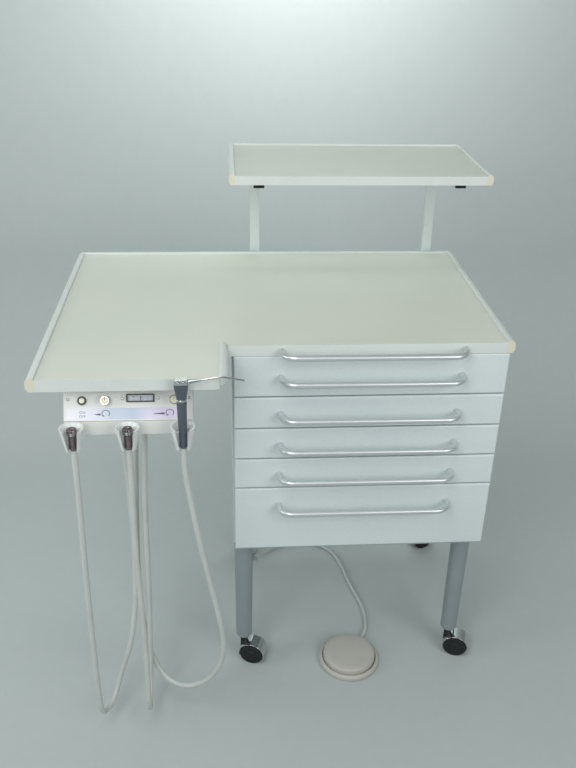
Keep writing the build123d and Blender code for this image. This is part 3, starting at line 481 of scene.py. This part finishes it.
# %% [markdown]
# ## Cut ends of the edging
# The raised edging is sawn off flush at the front, which bares its cream core. Each end is a
# thin plate in the shape of the strip's section: square inside, and rounded outside by the
# same two radii as the strip. It stands a fraction of a millimetre proud, like a saw burr.

# %% Cut ends
BURR, CORNER_STEPS = 0.15, 6
edging_core = surface("cream_abs_core", "#dcd9c6", "#d3cfba", 0.5, grain=0.8)
# Of each board: the left and the right strip as (outer side, inner side, front end), then the
# strips' foot and top, and the radii of their upper and lower outer corners.
ends_at = {
    "worktop": [(0, 15, -130), (900, 885, 0), 853, 880, 10, 8],
    "shelf": [(356, 368, 255), (896, 884, 255), 1110, 1132, 8, 7],
}
cut_ends = bmesh.new()
for *strips, low, high, upper, lower in ends_at.values():
    for outer, inner, y in strips:
        side = math.copysign(1, inner - outer)
        section = [(inner, low), (inner, high)]
        for radius, height, first in ((upper, high - upper, 90), (lower, low + lower, 180)):
            for step in range(CORNER_STEPS + 1):
                angle = math.radians(first + 90 / CORNER_STEPS * step)
                section.append((outer + side * radius * (1 + math.cos(angle)),
                                height + radius * math.sin(angle)))
        front = [cut_ends.verts.new(at(x, y - BURR, z)) for x, z in section]
        back = [cut_ends.verts.new(at(x, y, z)) for x, z in section]
        cut_ends.faces.new(front)
        cut_ends.faces.new(back)
        for k in range(len(section)):
            cut_ends.faces.new((front[k - 1], front[k], back[k], back[k - 1]))
bmesh.ops.recalc_face_normals(cut_ends, faces=cut_ends.faces)
close_piece("edging_cut_ends", cut_ends, [edging_core], "cabinet")
print("cut ends made:", 2 * len(ends_at))

# %% [markdown]
# ## Casters
# Each caster has two black nylon wheels with a chromed hood between and over them, and a
# black neck that swivels in the leg. The wheel's outer face is a shallow dish with a hub
# cap. The hood is a bent shell, thin at its edge, so it is drawn as an arc with thickness
# and its edges are rounded by a bevel, which gives the bright line round the wheel. The neck
# fills the space between the wheels and is cut off level above the floor. The axles point
# where the photograph shows them, so each caster has its own bearing.

# %% Casters
CABINET_LEFT, CABINET_WIDTH = 356, 540
LEG_SPREAD, FRONT_LEG, REAR_LEG, TRAIL = 248, 80, 477, 22
WHEEL_RADIUS, HOOD_OUTSIDE, HOOD_INSIDE, HOOD_HALF, HOOD_FLOOR = 28.4, 30.6, 29.0, 18, 20
HOOD_STEPS, NECK_FLOOR = 44, 11
cabinet_middle = CABINET_LEFT + CABINET_WIDTH / 2
casters = {
    "front_left": (cabinet_middle - LEG_SPREAD, FRONT_LEG, 72),
    "front_right": (cabinet_middle + LEG_SPREAD, FRONT_LEG, 73),
    "rear_left": (cabinet_middle - LEG_SPREAD, REAR_LEG, 40),
    "rear_right": (cabinet_middle + LEG_SPREAD, REAR_LEG, 110),
}
wheel_profile = [(0, 9.4), (26.4, 9.4), (27.9, 10.4), (28.4, 12), (28.4, 15.4), (27.9, 16.9),
                 (26.4, 17.9), (24.4, 18), (23.7, 17.5), (22.6, 17.2), (12, 16.9), (9.4, 17.1),
                 (8.8, 17.8), (7.8, 18), (0, 18)]
for place, (x, y, bearing) in casters.items():
    axle = Vector((math.cos(math.radians(bearing)), math.sin(math.radians(bearing)), 0))
    back = Vector((axle.y, -axle.x, 0))
    hub = at(x, y, WHEEL_RADIUS) + back * TRAIL * MM
    wheels = bmesh.new()
    for side in (-1, 1):
        turn_into(wheels, wheel_profile, hub, axle * side)
    close_piece(f"caster_{place}_nylon_wheels", wheels, [black_nylon], f"wheels_{place}",
                [f"caster_{place}_wheels"])

    hood = bmesh.new()
    lowest = math.asin((HOOD_FLOOR - WHEEL_RADIUS) / HOOD_OUTSIDE)
    rows = []
    for step in range(HOOD_STEPS + 1):
        angle = lowest + (math.pi - 2 * lowest) * step / HOOD_STEPS
        spoke = back * math.cos(angle) + Vector((0, 0, math.sin(angle)))
        rows.append([hood.verts.new(hub + spoke * radius * MM + axle * side * HOOD_HALF * MM)
                     for radius, side in ((HOOD_OUTSIDE, -1), (HOOD_OUTSIDE, 1),
                                          (HOOD_INSIDE, 1), (HOOD_INSIDE, -1))])
    for low, high in zip(rows, rows[1:]):
        for k in range(4):
            hood.faces.new((low[k], low[(k + 1) % 4], high[(k + 1) % 4], high[k]))
    hood.faces.new(rows[0])
    hood.faces.new(list(reversed(rows[-1])))
    bmesh.ops.recalc_face_normals(hood, faces=hood.faces)
    close_piece(f"caster_{place}_chrome_hood", hood, [chrome], f"caster_{place}",
                bevel=0.6)

    neck = bmesh.new()
    turn_into(neck, [(0, -8.9), (24, -8.9), (28, -6), (28, 6), (24, 8.9), (0, 8.9)], hub, axle)
    for vert in neck.verts:
        vert.co.z = max(vert.co.z, NECK_FLOOR * MM)
    turn_into(neck, [(0, 30), (8.5, 30), (8.5, 66), (7.4, 68), (7.4, 73), (8.2, 74), (8.2, 75.6),
                     (5.5, 75.6), (5.5, 104), (0, 104)], at(x, y, 0))
    close_piece(f"caster_{place}_neck", neck, [black_abs], f"caster_{place}",
                [f"caster_{place}_hood"])
print("casters made:", len(casters))

# %% [markdown]
# ## A geometry tree for rings
# Ribs repeat along the connectors and the strain reliefs. The tree takes a count, a pitch,
# two radii and a rib thickness as named inputs: a line of points carries a small ring at
# each, and the ring's radius runs from the first radius to the last. The result is realised,
# given its material and turned into a plain mesh, because the export drops instances.

# %% Tree of rings
def new_tree(name, sizes):
    """An empty geometry tree with named inputs; returns it, the inputs and their identifiers."""
    tree = bpy.data.node_groups.new(name, "GeometryNodeTree")
    tree.interface.new_socket("Geometry", in_out="OUTPUT", socket_type="NodeSocketGeometry")
    ids = {}
    for label, kind in sizes:
        socket = tree.interface.new_socket(label, in_out="INPUT", socket_type=kind)
        ids[label] = socket.identifier
    return tree, tree.nodes.new("NodeGroupInput").outputs, ids


def end_tree(tree, shape, material):
    """Ends a tree: makes its instances real, and gives them their material."""
    real = add_node(tree, "GeometryNodeRealizeInstances", {"Geometry": shape})
    coated = add_node(tree, "GeometryNodeSetMaterial", {"Geometry": real, "Material": material})
    add_node(tree, "NodeGroupOutput", {"Geometry": coated})


def grow(name, tree, ids, sizes):
    """Runs a tree with its sizes and returns what it makes as a plain mesh."""
    seed = in_scene(name + "_seed", bpy.data.meshes.new(name + "_seed"))
    modifier = seed.modifiers.new("tree", "NODES")
    modifier.node_group = tree
    for label, value in sizes.items():
        modifier[ids[label]] = value
    grown = plain_mesh(seed)
    seed.modifiers.remove(modifier)
    bpy.data.objects.remove(seed)
    grown.name = name
    return grown


ring_tree, given, ring_ids = new_tree("stack_of_rings", [
    ("Count", "NodeSocketInt"), ("Pitch", "NodeSocketFloat"), ("First Radius", "NodeSocketFloat"),
    ("Last Radius", "NodeSocketFloat"), ("Rib", "NodeSocketFloat"), ("Material", "NodeSocketMaterial")])
step_up = add_node(ring_tree, "ShaderNodeCombineXYZ", {"Z": given["Pitch"]})
line = add_node(ring_tree, "GeometryNodeMeshLine",
                {"Count": given["Count"], "Offset": step_up}, mode="OFFSET")
circle = add_node(ring_tree, "GeometryNodeCurvePrimitiveCircle", {"Resolution": 48, "Radius": 1.0})
index = add_node(ring_tree, "GeometryNodeInputIndex")
last = add_node(ring_tree, "ShaderNodeMath", {0: given["Count"], 1: 1.0}, operation="SUBTRACT")
radius = add_node(ring_tree, "ShaderNodeMapRange",
                  {"Value": index, "From Max": last, "To Min": given["First Radius"],
                   "To Max": given["Last Radius"]})
placed = add_node(ring_tree, "GeometryNodeInstanceOnPoints",
                  {"Points": line, "Instance": circle, "Scale": radius})
circles = add_node(ring_tree, "GeometryNodeRealizeInstances", {"Geometry": placed})
section = add_node(ring_tree, "GeometryNodeCurvePrimitiveCircle",
                   {"Resolution": 10, "Radius": given["Rib"]})
ribs = add_node(ring_tree, "GeometryNodeCurveToMesh", {"Curve": circles, "Profile Curve": section})
end_tree(ring_tree, ribs, given["Material"])
print("ring tree has", len(ring_tree.nodes), "nodes")


# %% Rings as a piece
def put_on(name, mesh, body):
    """Makes a piece of a finished mesh and puts it on its body."""
    piece = in_scene(name, mesh)
    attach(piece, body)


def rings(name, foot, count, pitch, first, final, rib, material, body, slot):
    """A stack of ribs from foot upwards, in mm, riding on a body."""
    mesh = grow(name, ring_tree, ring_ids, {
        "Count": count, "Pitch": pitch * MM, "First Radius": first * MM,
        "Last Radius": final * MM, "Rib": rib * MM, "Material": material})
    mesh.transform(Matrix.Translation(foot))
    smooth(mesh)
    put_on(name, mesh, body)


# %% [markdown]
# ## Connectors and strain reliefs
# The two left hoses end in a quick connector of smoked chrome: a collar that rests on the
# holder's ledge, a ribbed barrel for the fingers, and a tapered sleeve on to the hose. Under
# the control box each hose starts in a tapered strain relief, ribbed so that it can bend. The
# air tube has a smaller one, without ribs. Their places are the ends of the hoses' routes.

# %% Connectors
BARREL_RIBS, COLLAR_RIBS = 749, 778.2
HOLDER_Y = hose_routes["hose_left"][0][1]
holder_places = {side: hose_routes[f"hose_{side}"][0][0] for side in ("left", "middle", "right")}
connector_profile = [(0, 745), (6.3, 745), (6.6, 745.6), (6.95, 768), (7, 773), (7, 776.3),
                     (9.1, 776.3), (9.5, 776.9), (9.5, 783.4), (9.1, 784.2), (8.7, 784.8),
                     (8.6, 786.2), (8.1, 786.9), (3.6, 787), (3.2, 786.4), (0, 786.2)]
for side in ("left", "middle"):
    x = holder_places[side]
    barrel = bmesh.new()
    turn_into(barrel, connector_profile, at(x, HOLDER_Y, 0))
    close_piece(f"connector_{side}_barrel", barrel, [smoked_chrome], f"handpiece_{side}",
                [f"connector_{side}"])
    rings(f"connector_{side}_ribs", at(x, HOLDER_Y, BARREL_RIBS), count=9, pitch=2.8, first=6.65,
          final=6.95, rib=0.35, material=smoked_chrome, body=f"handpiece_{side}", slot="dark_chrome")
    rings(f"connector_{side}_collar_ribs", at(x, HOLDER_Y, COLLAR_RIBS), count=3, pitch=2.0,
          first=9.4, final=9.4, rib=0.4, material=chrome, body=f"handpiece_{side}",
          slot="bright_chrome")
print("connectors made")

# %% Strain reliefs
sleeve_profile = [(0, 0), (8.6, 0), (8.6, -3), (7.9, -5), (7.4, -14), (6.9, -24), (6.3, -31),
                  (5.9, -32), (0, -32)]
SLEEVE_RIBS, PEDAL_SLEEVE_GIRTH, PEDAL_SLEEVE_LENGTH = -27, 0.72, 0.8
for side in holder_places:
    x, y, z = hose_routes[f"hose_{side}"][-1]
    sleeve = bmesh.new()
    turn_into(sleeve, sleeve_profile, at(x, y, z))
    close_piece(f"gland_{side}_sleeve", sleeve, [black_abs], "cabinet")
    rings(f"gland_{side}_ribs", at(x, y, z + SLEEVE_RIBS), count=6, pitch=3.9, first=6.7,
          final=7.9, rib=0.8, material=black_abs, body="cabinet", slot="black_plastic")
sleeve = bmesh.new()
pedal_sleeve = [(radius * PEDAL_SLEEVE_GIRTH, distance * PEDAL_SLEEVE_LENGTH)
                for radius, distance in sleeve_profile]
turn_into(sleeve, pedal_sleeve, at(*hose_routes["pedal_tube"][-1]))
close_piece("gland_pedal_sleeve", sleeve, [black_abs], "cabinet")
print("strain reliefs made:", len(holder_places) + 1)

# %% [markdown]
# ## The syringe
# The right handpiece is an air and water syringe: a slate anodised handle that swells into a
# cone, a bright ring at its waist, and a chromed head with two buttons and a thin nozzle.
# The handle is turned, and then its cone is milled flat at the front and the back: each
# point past the slanting flat is drawn in to it. The head, buttons and nozzle keep their
# CAD solids.

# %% Syringe handle
handle_profile = [(0, 745), (5.7, 745), (6.15, 745.6), (7.35, 776), (8.1, 796), (8.9, 833),
                  (8.9, 840.4), (8.5, 841), (8.5, 845), (9, 845.2), (9.15, 846), (10.06, 852),
                  (10.96, 858), (11.87, 864), (12.7, 870), (12.95, 872), (12.7, 872.5), (0, 872.5)]
handle = bmesh.new()
turn_into(handle, handle_profile, at(holder_places["right"], HOLDER_Y, 0), sides=144)
FLAT_START, FLAT_END = (9.1, 846), (6, 872.5)
handle_axis = at(0, HOLDER_Y, 0).y
for vert in handle.verts:
    share = (vert.co.z / MM - FLAT_START[1]) / (FLAT_END[1] - FLAT_START[1])
    if share >= 0:
        flat = (FLAT_START[0] + share * (FLAT_END[0] - FLAT_START[0])) * MM
        vert.co.y = handle_axis + max(-flat, min(flat, vert.co.y - handle_axis))
close_piece("syringe_handle", handle, [slate_anodised], "syringe", ["syringe_body"])
ring = bmesh.new()
turn_into(ring, [(0, 841.2), (9.1, 841.2), (9.4, 841.6), (9.4, 844.4), (9.1, 844.8), (0, 844.8)],
          at(holder_places["right"], HOLDER_Y, 0), sides=72)
close_piece("syringe_ring", ring, [chrome], "syringe")
print("syringe handle made")

# %% [markdown]
# ## Knobs
# Two knobs set the air and the speed. Each is chromed, with a darker knurled rim for the
# fingers and a cream cap with a pointer line. The knurl is a second geometry tree: thin
# upright ribs placed round a circle.

# %% Tree of a knurled rim
knurl_tree, given, knurl_ids = new_tree("knurled_rim", [
    ("Count", "NodeSocketInt"), ("Radius", "NodeSocketFloat"), ("Rib", "NodeSocketFloat"),
    ("Length", "NodeSocketFloat"), ("Material", "NodeSocketMaterial")])
circle = add_node(knurl_tree, "GeometryNodeMeshCircle",
                  {"Vertices": given["Count"], "Radius": given["Radius"]})
rib = add_node(knurl_tree, "GeometryNodeMeshCylinder",
               {"Vertices": 8, "Radius": given["Rib"], "Depth": given["Length"]})
placed = add_node(knurl_tree, "GeometryNodeInstanceOnPoints", {"Points": circle, "Instance": rib})
end_tree(knurl_tree, placed, given["Material"])

# %% Knobs
CONTROL_HEIGHT, KNURL_OUT = 38, 9.4
POINTER_HALF, POINTER_FROM, POINTER_TO = 0.5, 1.2, 5.4
knobs = {"air_knob": (130, "air_dial"), "speed_knob": (252, "speed_dial")}
for name, (x, body) in knobs.items():
    foot = on_panel(x, CONTROL_HEIGHT)
    knob = bmesh.new()
    turn_into(knob, [(0, -10), (3, -10), (3, 1), (8.4, 1), (8.8, 1.6), (8.6, 5.6), (8.0, 6.4),
                     (7.8, 12.6), (7.4, 13.4), (0, 13.4)], foot, OUTWARDS)
    close_piece(f"{name}_body", knob, [chrome], body, [name])
    cap = bmesh.new()
    turn_into(cap, [(0, 12.8), (6.6, 12.8), (6.6, 13.4), (6.2, 13.8), (0, 13.9)], foot, OUTWARDS)
    box_on_panel(cap, (x - POINTER_HALF, CONTROL_HEIGHT + POINTER_FROM, 13.6),
                 (x + POINTER_HALF, CONTROL_HEIGHT + POINTER_TO, 14), finish=1)
    close_piece(f"{name}_cap", cap, [cream_abs, dark_ink], body)
    knurl = grow(f"{name}_knurl", knurl_tree, knurl_ids, {
        "Count": 28, "Radius": 7.8 * MM, "Rib": 0.42 * MM, "Length": 6 * MM,
        "Material": smoked_chrome})
    knurl.transform(Matrix.Translation(on_panel(x, CONTROL_HEIGHT, KNURL_OUT)) @ PANEL_STAND)
    put_on(f"{name}_knurl", knurl, body)
print("knobs made:", len(knobs))

# %% [markdown]
# ## Screws
# Four small pan-head screws hold the panel. One head is built once, with its cross recess
# cut in, and a geometry tree puts a copy on each point, turned by a seeded random angle as
# a fitter leaves them.

# %% Screw heads
RECESS_HEIGHT, RECESS_SIZE = 1.3 * MM, (3.0 * MM, 0.7 * MM, 1.2 * MM, 1)
pan = bmesh.new()
turn_into(pan, [(0, 0), (2.8, 0), (2.8, 0.5), (2.4, 1.05), (1.6, 1.35), (0, 1.4)], Vector(),
          sides=32)
head = in_scene("screw_head", closed("screw_head", pan))
cutters = []
for turn_angle in (0, math.pi / 2):
    bar = bmesh.new()
    bmesh.ops.create_cube(bar, size=1.0)
    bmesh.ops.transform(bar, verts=bar.verts, matrix=Matrix.Translation((0, 0, RECESS_HEIGHT))
                        @ Matrix.Rotation(turn_angle, 4, "Z") @ Matrix.Diagonal(RECESS_SIZE))
    cutter = in_scene("screw_bar", closed("screw_bar", bar))
    cutters.append(cutter)
    cut = head.modifiers.new("recess", "BOOLEAN")
    cut.object = cutter
    cut.operation = "DIFFERENCE"
cut_mesh = plain_mesh(head)
head.modifiers.clear()
head.data = cut_mesh
for cutter in cutters:
    bpy.data.objects.remove(cutter)

screw_tree, given, screw_ids = new_tree("screws_in_a_row", [
    ("Head", "NodeSocketObject"), ("Count", "NodeSocketInt"), ("Step", "NodeSocketVector"),
    ("Seed", "NodeSocketInt"), ("Material", "NodeSocketMaterial")])
row = add_node(screw_tree, "GeometryNodeMeshLine",
               {"Count": given["Count"], "Offset": given["Step"]}, mode="OFFSET")
info = add_node(screw_tree, "GeometryNodeObjectInfo", {"Object": given["Head"]})
angle = add_node(screw_tree, "FunctionNodeRandomValue",
                 {2: 0.0, 3: math.pi / 2, "Seed": given["Seed"]}, data_type="FLOAT")
twist = add_node(screw_tree, "ShaderNodeCombineXYZ", {"Z": angle.outputs[1]})
placed = add_node(screw_tree, "GeometryNodeInstanceOnPoints",
                  {"Points": row, "Instance": info.outputs["Geometry"], "Rotation": twist})
end_tree(screw_tree, placed, given["Material"])
print("screw head has", len(cut_mesh.polygons), "faces")

# %% Panel screws
SCREW_HEIGHT = 40.7
# Of each pair: its left screw's place across, the gap to the other, and the twists' seed.
screw_pairs = [(63.7, 95.8, 11), (223.4, 55.3, 23)]
screws = bmesh.new()
for x, gap, seed in screw_pairs:
    some = grow("screws", screw_tree, screw_ids, {
        "Head": head, "Count": 2, "Step": (gap * MM, 0, 0), "Seed": seed, "Material": zinc})
    some.transform(Matrix.Translation(on_panel(x, SCREW_HEIGHT)) @ PANEL_STAND)
    screws.from_mesh(some)
close_piece("panel_screw_heads", screws, [zinc], "cabinet", ["panel_screws"])
bpy.data.objects.remove(head)

# %% [markdown]
# ## The gauge and the printed strip
# Behind a charcoal frame sits a pressure gauge: a pale dial with a printed scale, a needle
# and a clear window. The scale's ticks stand in a level row, spaced by the angles at which
# the needle crosses it. Under the controls runs a printed strip that fades from white through
# pale blue to lilac; on it are the words for the power button, and for each knob a turning
# arrow and a wedge.

# %% Scale, numbers and window
DIAL_OUT, PIVOT_X, PIVOT_HEIGHT = -5.42, 191.5, 24.5
FIRST_TICK, TICK_STEP, TICKS, TICKS_A_NUMBER = math.radians(-40), math.radians(5), 17, 4
LONG_TICK, SHORT_TICK, TICK_TOP, TICK_HALF = 16.2, 17.2, 18.6, 0.14
RED_END, RED_LOW, RED_HIGH = math.radians(-28), 19.2, 20.4
NUMBER_REACH, NUMBER_SIZE, PRINT_OUT = 14.2, 2.6, 0.03


def on_scale(angle, reach, out=0):
    """A point of the dial where a needle at that angle crosses a level line above its pivot."""
    return on_panel(PIVOT_X + reach * math.tan(angle), PIVOT_HEIGHT + reach, DIAL_OUT + out)


scale = bmesh.new()
half = Vector((TICK_HALF * MM, 0, 0))
for tick in range(TICKS):
    angle = FIRST_TICK + TICK_STEP * tick
    low = LONG_TICK if tick % TICKS_A_NUMBER == 0 else SHORT_TICK
    corners = [on_scale(angle, low) - half, on_scale(angle, low) + half,
               on_scale(angle, TICK_TOP) + half, on_scale(angle, TICK_TOP) - half]
    scale.faces.new([scale.verts.new(corner) for corner in corners])
mark = [on_scale(FIRST_TICK, RED_LOW), on_scale(RED_END, RED_LOW),
        on_scale(RED_END, RED_HIGH), on_scale(FIRST_TICK, RED_HIGH)]
scale.faces.new([scale.verts.new(corner) for corner in mark]).material_index = 1
close_piece("gauge_scale", scale, [dark_ink, red_lacquer], "cabinet")

clear = bpy.data.materials.new("clear_acrylic_window")
clear.use_nodes = True
clear_shader = clear.node_tree.nodes["Principled BSDF"]
for socket, value in (("Roughness", 0.04), ("IOR", 1.49), ("Alpha", 0.08),
                      ("Base Color", (0.85, 0.9, 0.95, 1))):
    clear_shader.inputs[socket].default_value = value
window = bmesh.new()
box_on_panel(window, (169.4, 36.8, -2.4), (213.6, 46.2, -1.4))
close_piece("gauge_window", window, [clear], "cabinet", bevel=0.15)
print("gauge dressed")


# %% Words
def words(name, text, size, place, material):
    """Thin lettering of a height in mm, lying on the panel at place."""
    line = bpy.data.curves.new(name, "FONT")
    line.body = text
    line.size = size * MM
    line.align_x = "CENTER"
    line.align_y = "CENTER"
    line.space_character = 1.12
    line.extrude = PRINT_OUT * MM
    maker = in_scene(name + "_line", line)
    mesh = plain_mesh(maker)
    bpy.data.objects.remove(maker)
    mesh.materials.clear()
    mesh.materials.append(material)
    mesh.transform(Matrix.Translation(place) @ PANEL_STAND)
    put_on(name, mesh, "cabinet")


for count, number in enumerate("02468"):
    angle = FIRST_TICK + TICK_STEP * TICKS_A_NUMBER * count
    words(f"gauge_number_{number}", number, NUMBER_SIZE, on_scale(angle, NUMBER_REACH, PRINT_OUT),
          dark_ink)

# %% Printed strip
film = bpy.data.materials.new("printed_polyester_film")
film.use_nodes = True
tree = film.node_tree
place = add_node(tree, "ShaderNodeTexCoord").outputs["Object"]
across = add_node(tree, "ShaderNodeSeparateXYZ", {"Vector": place})
STRIP_LEFT, STRIP_RIGHT, STRIP_FOOT, STRIP_HEAD, STRIP_OUT = 62, 258, 3.8, 24.2, 0.25
along = add_node(tree, "ShaderNodeMapRange", {"Value": across.outputs["X"],
                 "From Min": at(STRIP_LEFT, 0, 0).x, "From Max": at(STRIP_RIGHT, 0, 0).x})
fade = add_node(tree, "ShaderNodeValToRGB", {"Fac": along})
fade.color_ramp.elements[0].color = paint("#e0e1ea")
fade.color_ramp.elements[1].color = paint("#dcd3e8")
for position, colour in ((0.26, "#d3d8e4"), (0.4, "#b9c6d4"), (0.6, "#bac6d9"), (0.74, "#d9d3e8")):
    fade.color_ramp.elements.new(position).color = paint(colour)
print_shader = tree.nodes["Principled BSDF"]
tree.links.new(fade.outputs[0], print_shader.inputs["Base Color"])
print_shader.inputs["Roughness"].default_value = 0.28
print_shader.inputs["Coat Weight"].default_value = 0.2
strip_shape = bmesh.new()
box_on_panel(strip_shape, (STRIP_LEFT, STRIP_FOOT, -0.1), (STRIP_RIGHT, STRIP_HEAD, STRIP_OUT))
close_piece("printed_strip", strip_shape, [film], "cabinet")
WORD_X, WORD_SIZE = 89, 6.4
for text, height in (("ON", 16.8), ("OFF", 9.7)):
    words(f"word_{text.lower()}", text, WORD_SIZE, on_panel(WORD_X, height, STRIP_OUT + PRINT_OUT),
          violet_ink)

# %% Turning arrows under the knobs
ARROW_HEIGHT, ARROW_WIDE, ARROW_HIGH, ARROW_OUT = 14.6, 6.9, 5.7, STRIP_OUT + 2 * PRINT_OUT
ARROW_START, ARROW_SWEEP, ARROW_STEPS = math.radians(-50), math.radians(270), 27
WEDGE_HEIGHT, TIP_HALF, END_HALF = 13, 0.4, 2
arrow_places = (130.1, 243.5)
wedges = ((110.5, 10.5), (214.5, 19.5))  # the tip's place across, and the length
arrows = bmesh.new()


def on_arrow(x, angle, size):
    """A point of the flattened ring under a knob, size times its middle line."""
    return on_panel(x + ARROW_WIDE * size * math.cos(angle),
                    ARROW_HEIGHT + ARROW_HIGH * size * math.sin(angle), ARROW_OUT)


for x in arrow_places:
    ends = []
    for step in range(ARROW_STEPS + 1):
        angle = ARROW_START + ARROW_SWEEP * step / ARROW_STEPS
        ends.append([arrows.verts.new(on_arrow(x, angle, size)) for size in (0.9, 1.1)])
    for low, high in zip(ends, ends[1:]):
        arrows.faces.new((low[0], high[0], high[1], low[1]))
    tip = ARROW_START + ARROW_SWEEP
    points = [on_arrow(x, tip + turn_by, size) for size, turn_by in ((0.65, 0), (1.35, 0), (1, 0.55))]
    arrows.faces.new([arrows.verts.new(point) for point in points])
for x, length in wedges:
    wedge = [on_panel(x + along, WEDGE_HEIGHT + up, ARROW_OUT) for along, up in
             ((0, -TIP_HALF), (length, -END_HALF), (length, END_HALF), (0, TIP_HALF))]
    arrows.faces.new([arrows.verts.new(point) for point in wedge])
bmesh.ops.recalc_face_normals(arrows, faces=arrows.faces)
close_piece("turning_arrows", arrows, [violet_ink], "cabinet")
print("strip printed")

# %% [markdown]
# ## The foot control
# The foot control is a low round base with a well, and in it a domed disc that is pressed
# down with the sole. Both are turned, with the soft edges of moulded plastic and a shallow
# groove round the disc. The air tube leaves the base through a short sleeve, in the direction
# of its route's first run.

# %% Foot control
PEDAL_X, PEDAL_Y = 631, 58
DOME_EDGE, DOME_RISE, DOME_TOP = 57, 3, 30
base_profile = [(0, 0.2), (69, 0), (70.6, 0.4), (71.6, 1.6), (72, 3), (72, 8.4), (71.4, 10),
                (69, 12.6), (67, 13.7), (65.4, 14), (64.4, 13.6), (64, 12.6), (64, 4.5), (0, 4.5)]
base = bmesh.new()
turn_into(base, base_profile, at(PEDAL_X, PEDAL_Y, 0), sides=96)
exit_point, next_point = (at(*point) for point in hose_routes["pedal_tube"][:2])
exit_way = (next_point - exit_point).normalized()
turn_into(base, [(0, 0), (4.7, 0), (5.0, 1), (5.5, 8), (5.5, 16), (0, 16)], exit_point, -exit_way,
          sides=32)
close_piece("foot_base", base, [pedal_abs], "cabinet", ["pedal_base"])
dome_radius = (DOME_EDGE**2 + DOME_RISE**2) / (2 * DOME_RISE)
dome_foot = DOME_TOP - dome_radius
dome = [(r, dome_foot + math.sqrt(dome_radius**2 - r**2)) for r in (54, 48, 42, 34, 24, 12)]
disc_profile = [(0, 14), (57.5, 14), (58, 10.2), (61.4, 10), (62, 10.6), (62, 21), (61.4, 23),
                (59.6, 25.4), (57.6, 26.5), (56.4, 26.3), (55.4, 26.4)] + dome + [(0, DOME_TOP)]
disc = bmesh.new()
turn_into(disc, disc_profile, at(PEDAL_X, PEDAL_Y, 0), sides=96)
close_piece("foot_disc", disc, [pedal_abs], "pedal", ["pedal_disc"])
print("foot control made")

# %% [markdown]
# ## Floor and backdrop
# The photograph has a plain pale studio paper behind the unit: a floor that curves up into a
# wall. One strip with a rounded corner does it. It isn't part of the object, so it is staged.
# Its back is clear, so that the unit can also be looked at from behind.

# %% Studio paper
paper = surface("pale_studio_paper", "#b4bdbb", "#b0b9b8", 0.9, grain=30, relief=0.0, clouds=0.6,
                cloud_size=900)
tree = paper.node_tree
pale_side = tree.nodes["Principled BSDF"]
clear_back = add_node(tree, "ShaderNodeBsdfTransparent")
which_side = add_node(tree, "ShaderNodeNewGeometry").outputs["Backfacing"]
one_sided = add_node(tree, "ShaderNodeMixShader", {0: which_side, 1: pale_side, 2: clear_back})
tree.links.new(one_sided.outputs[0], tree.nodes["Material Output"].inputs["Surface"])
strip = bmesh.new()
CORNER, CORNER_PARTS, WALL_Y, HALF_WIDTH, WALL_TOP = 0.55, 16, 1.25, 4.0, 3.6
FLOOR_START, FLOOR_MIDDLE = -3.2, -1.0
profile = [(FLOOR_START, 0.0), (FLOOR_MIDDLE, 0.0), (WALL_Y - CORNER, 0.0)]
for step in range(1, CORNER_PARTS + 1):
    angle = math.pi / 2 * step / CORNER_PARTS
    profile.append((WALL_Y - CORNER + CORNER * math.sin(angle), CORNER - CORNER * math.cos(angle)))
profile.append((WALL_Y, WALL_TOP))
rows = [[strip.verts.new((x, y, z)) for x in (-HALF_WIDTH, HALF_WIDTH)] for y, z in profile]
for low, high in zip(rows, rows[1:]):
    strip.faces.new((low[0], low[1], high[1], high[0]))
paper_mesh = closed("studio_paper", strip)
smooth(paper_mesh)
paper_mesh.materials.append(paper)
backdrop = in_scene("studio_paper", paper_mesh)
print("studio paper laid")

# %% [markdown]
# ## Light
# The photograph was taken in soft light from several sides. Five square lamps do that: one
# left of the camera, one high over the worktop, one from the right, a weaker one low on the
# left for the cabinet's side, and one behind the unit that faces the wall. An even pale world
# fills what is left. The view transform is Standard, so a colour renders about as it is
# written. Places and sizes here are in metres, and powers in watts.

# %% Lamps, world and view
def lamp(name, place, aim, size, power):
    """A square soft lamp that the camera can't see, at place and turned towards aim."""
    data = bpy.data.lights.new(name, "AREA")
    data.shape = "SQUARE"
    data.size = size
    data.energy = power
    made = in_scene(name, data)
    turn = (aim - place).to_track_quat("-Z", "Y").to_matrix().to_4x4()
    made.matrix_world = Matrix.Translation(place) @ turn
    made.visible_camera = False


middle = Vector((0.0, 0.1, 0.7))
lamp("main_lamp", Vector((-1.1, -2.4, 2.3)), middle, size=1.2, power=21)
lamp("high_lamp", Vector((-0.7, -1.3, 2.9)), middle, size=1.4, power=19)
lamp("right_lamp", Vector((1.5, -2.2, 1.9)), middle, size=1.4, power=26)
lamp("side_lamp", Vector((-2.2, -0.6, 1.3)), middle, size=1.0, power=15)
lamp("wall_lamp", Vector((0.1, 0.75, 1.9)), Vector((0.1, 1.25, 1.6)), size=0.9, power=11.5)
world = bpy.data.worlds.new("studio_air")
world.use_nodes = True
world.node_tree.nodes["Background"].inputs["Color"].default_value = paint("#dfe6e6")
world.node_tree.nodes["Background"].inputs["Strength"].default_value = 0.3
bpy.context.scene.world = world
bpy.context.scene.view_settings.view_transform = "Standard"
print("lamps and world set")
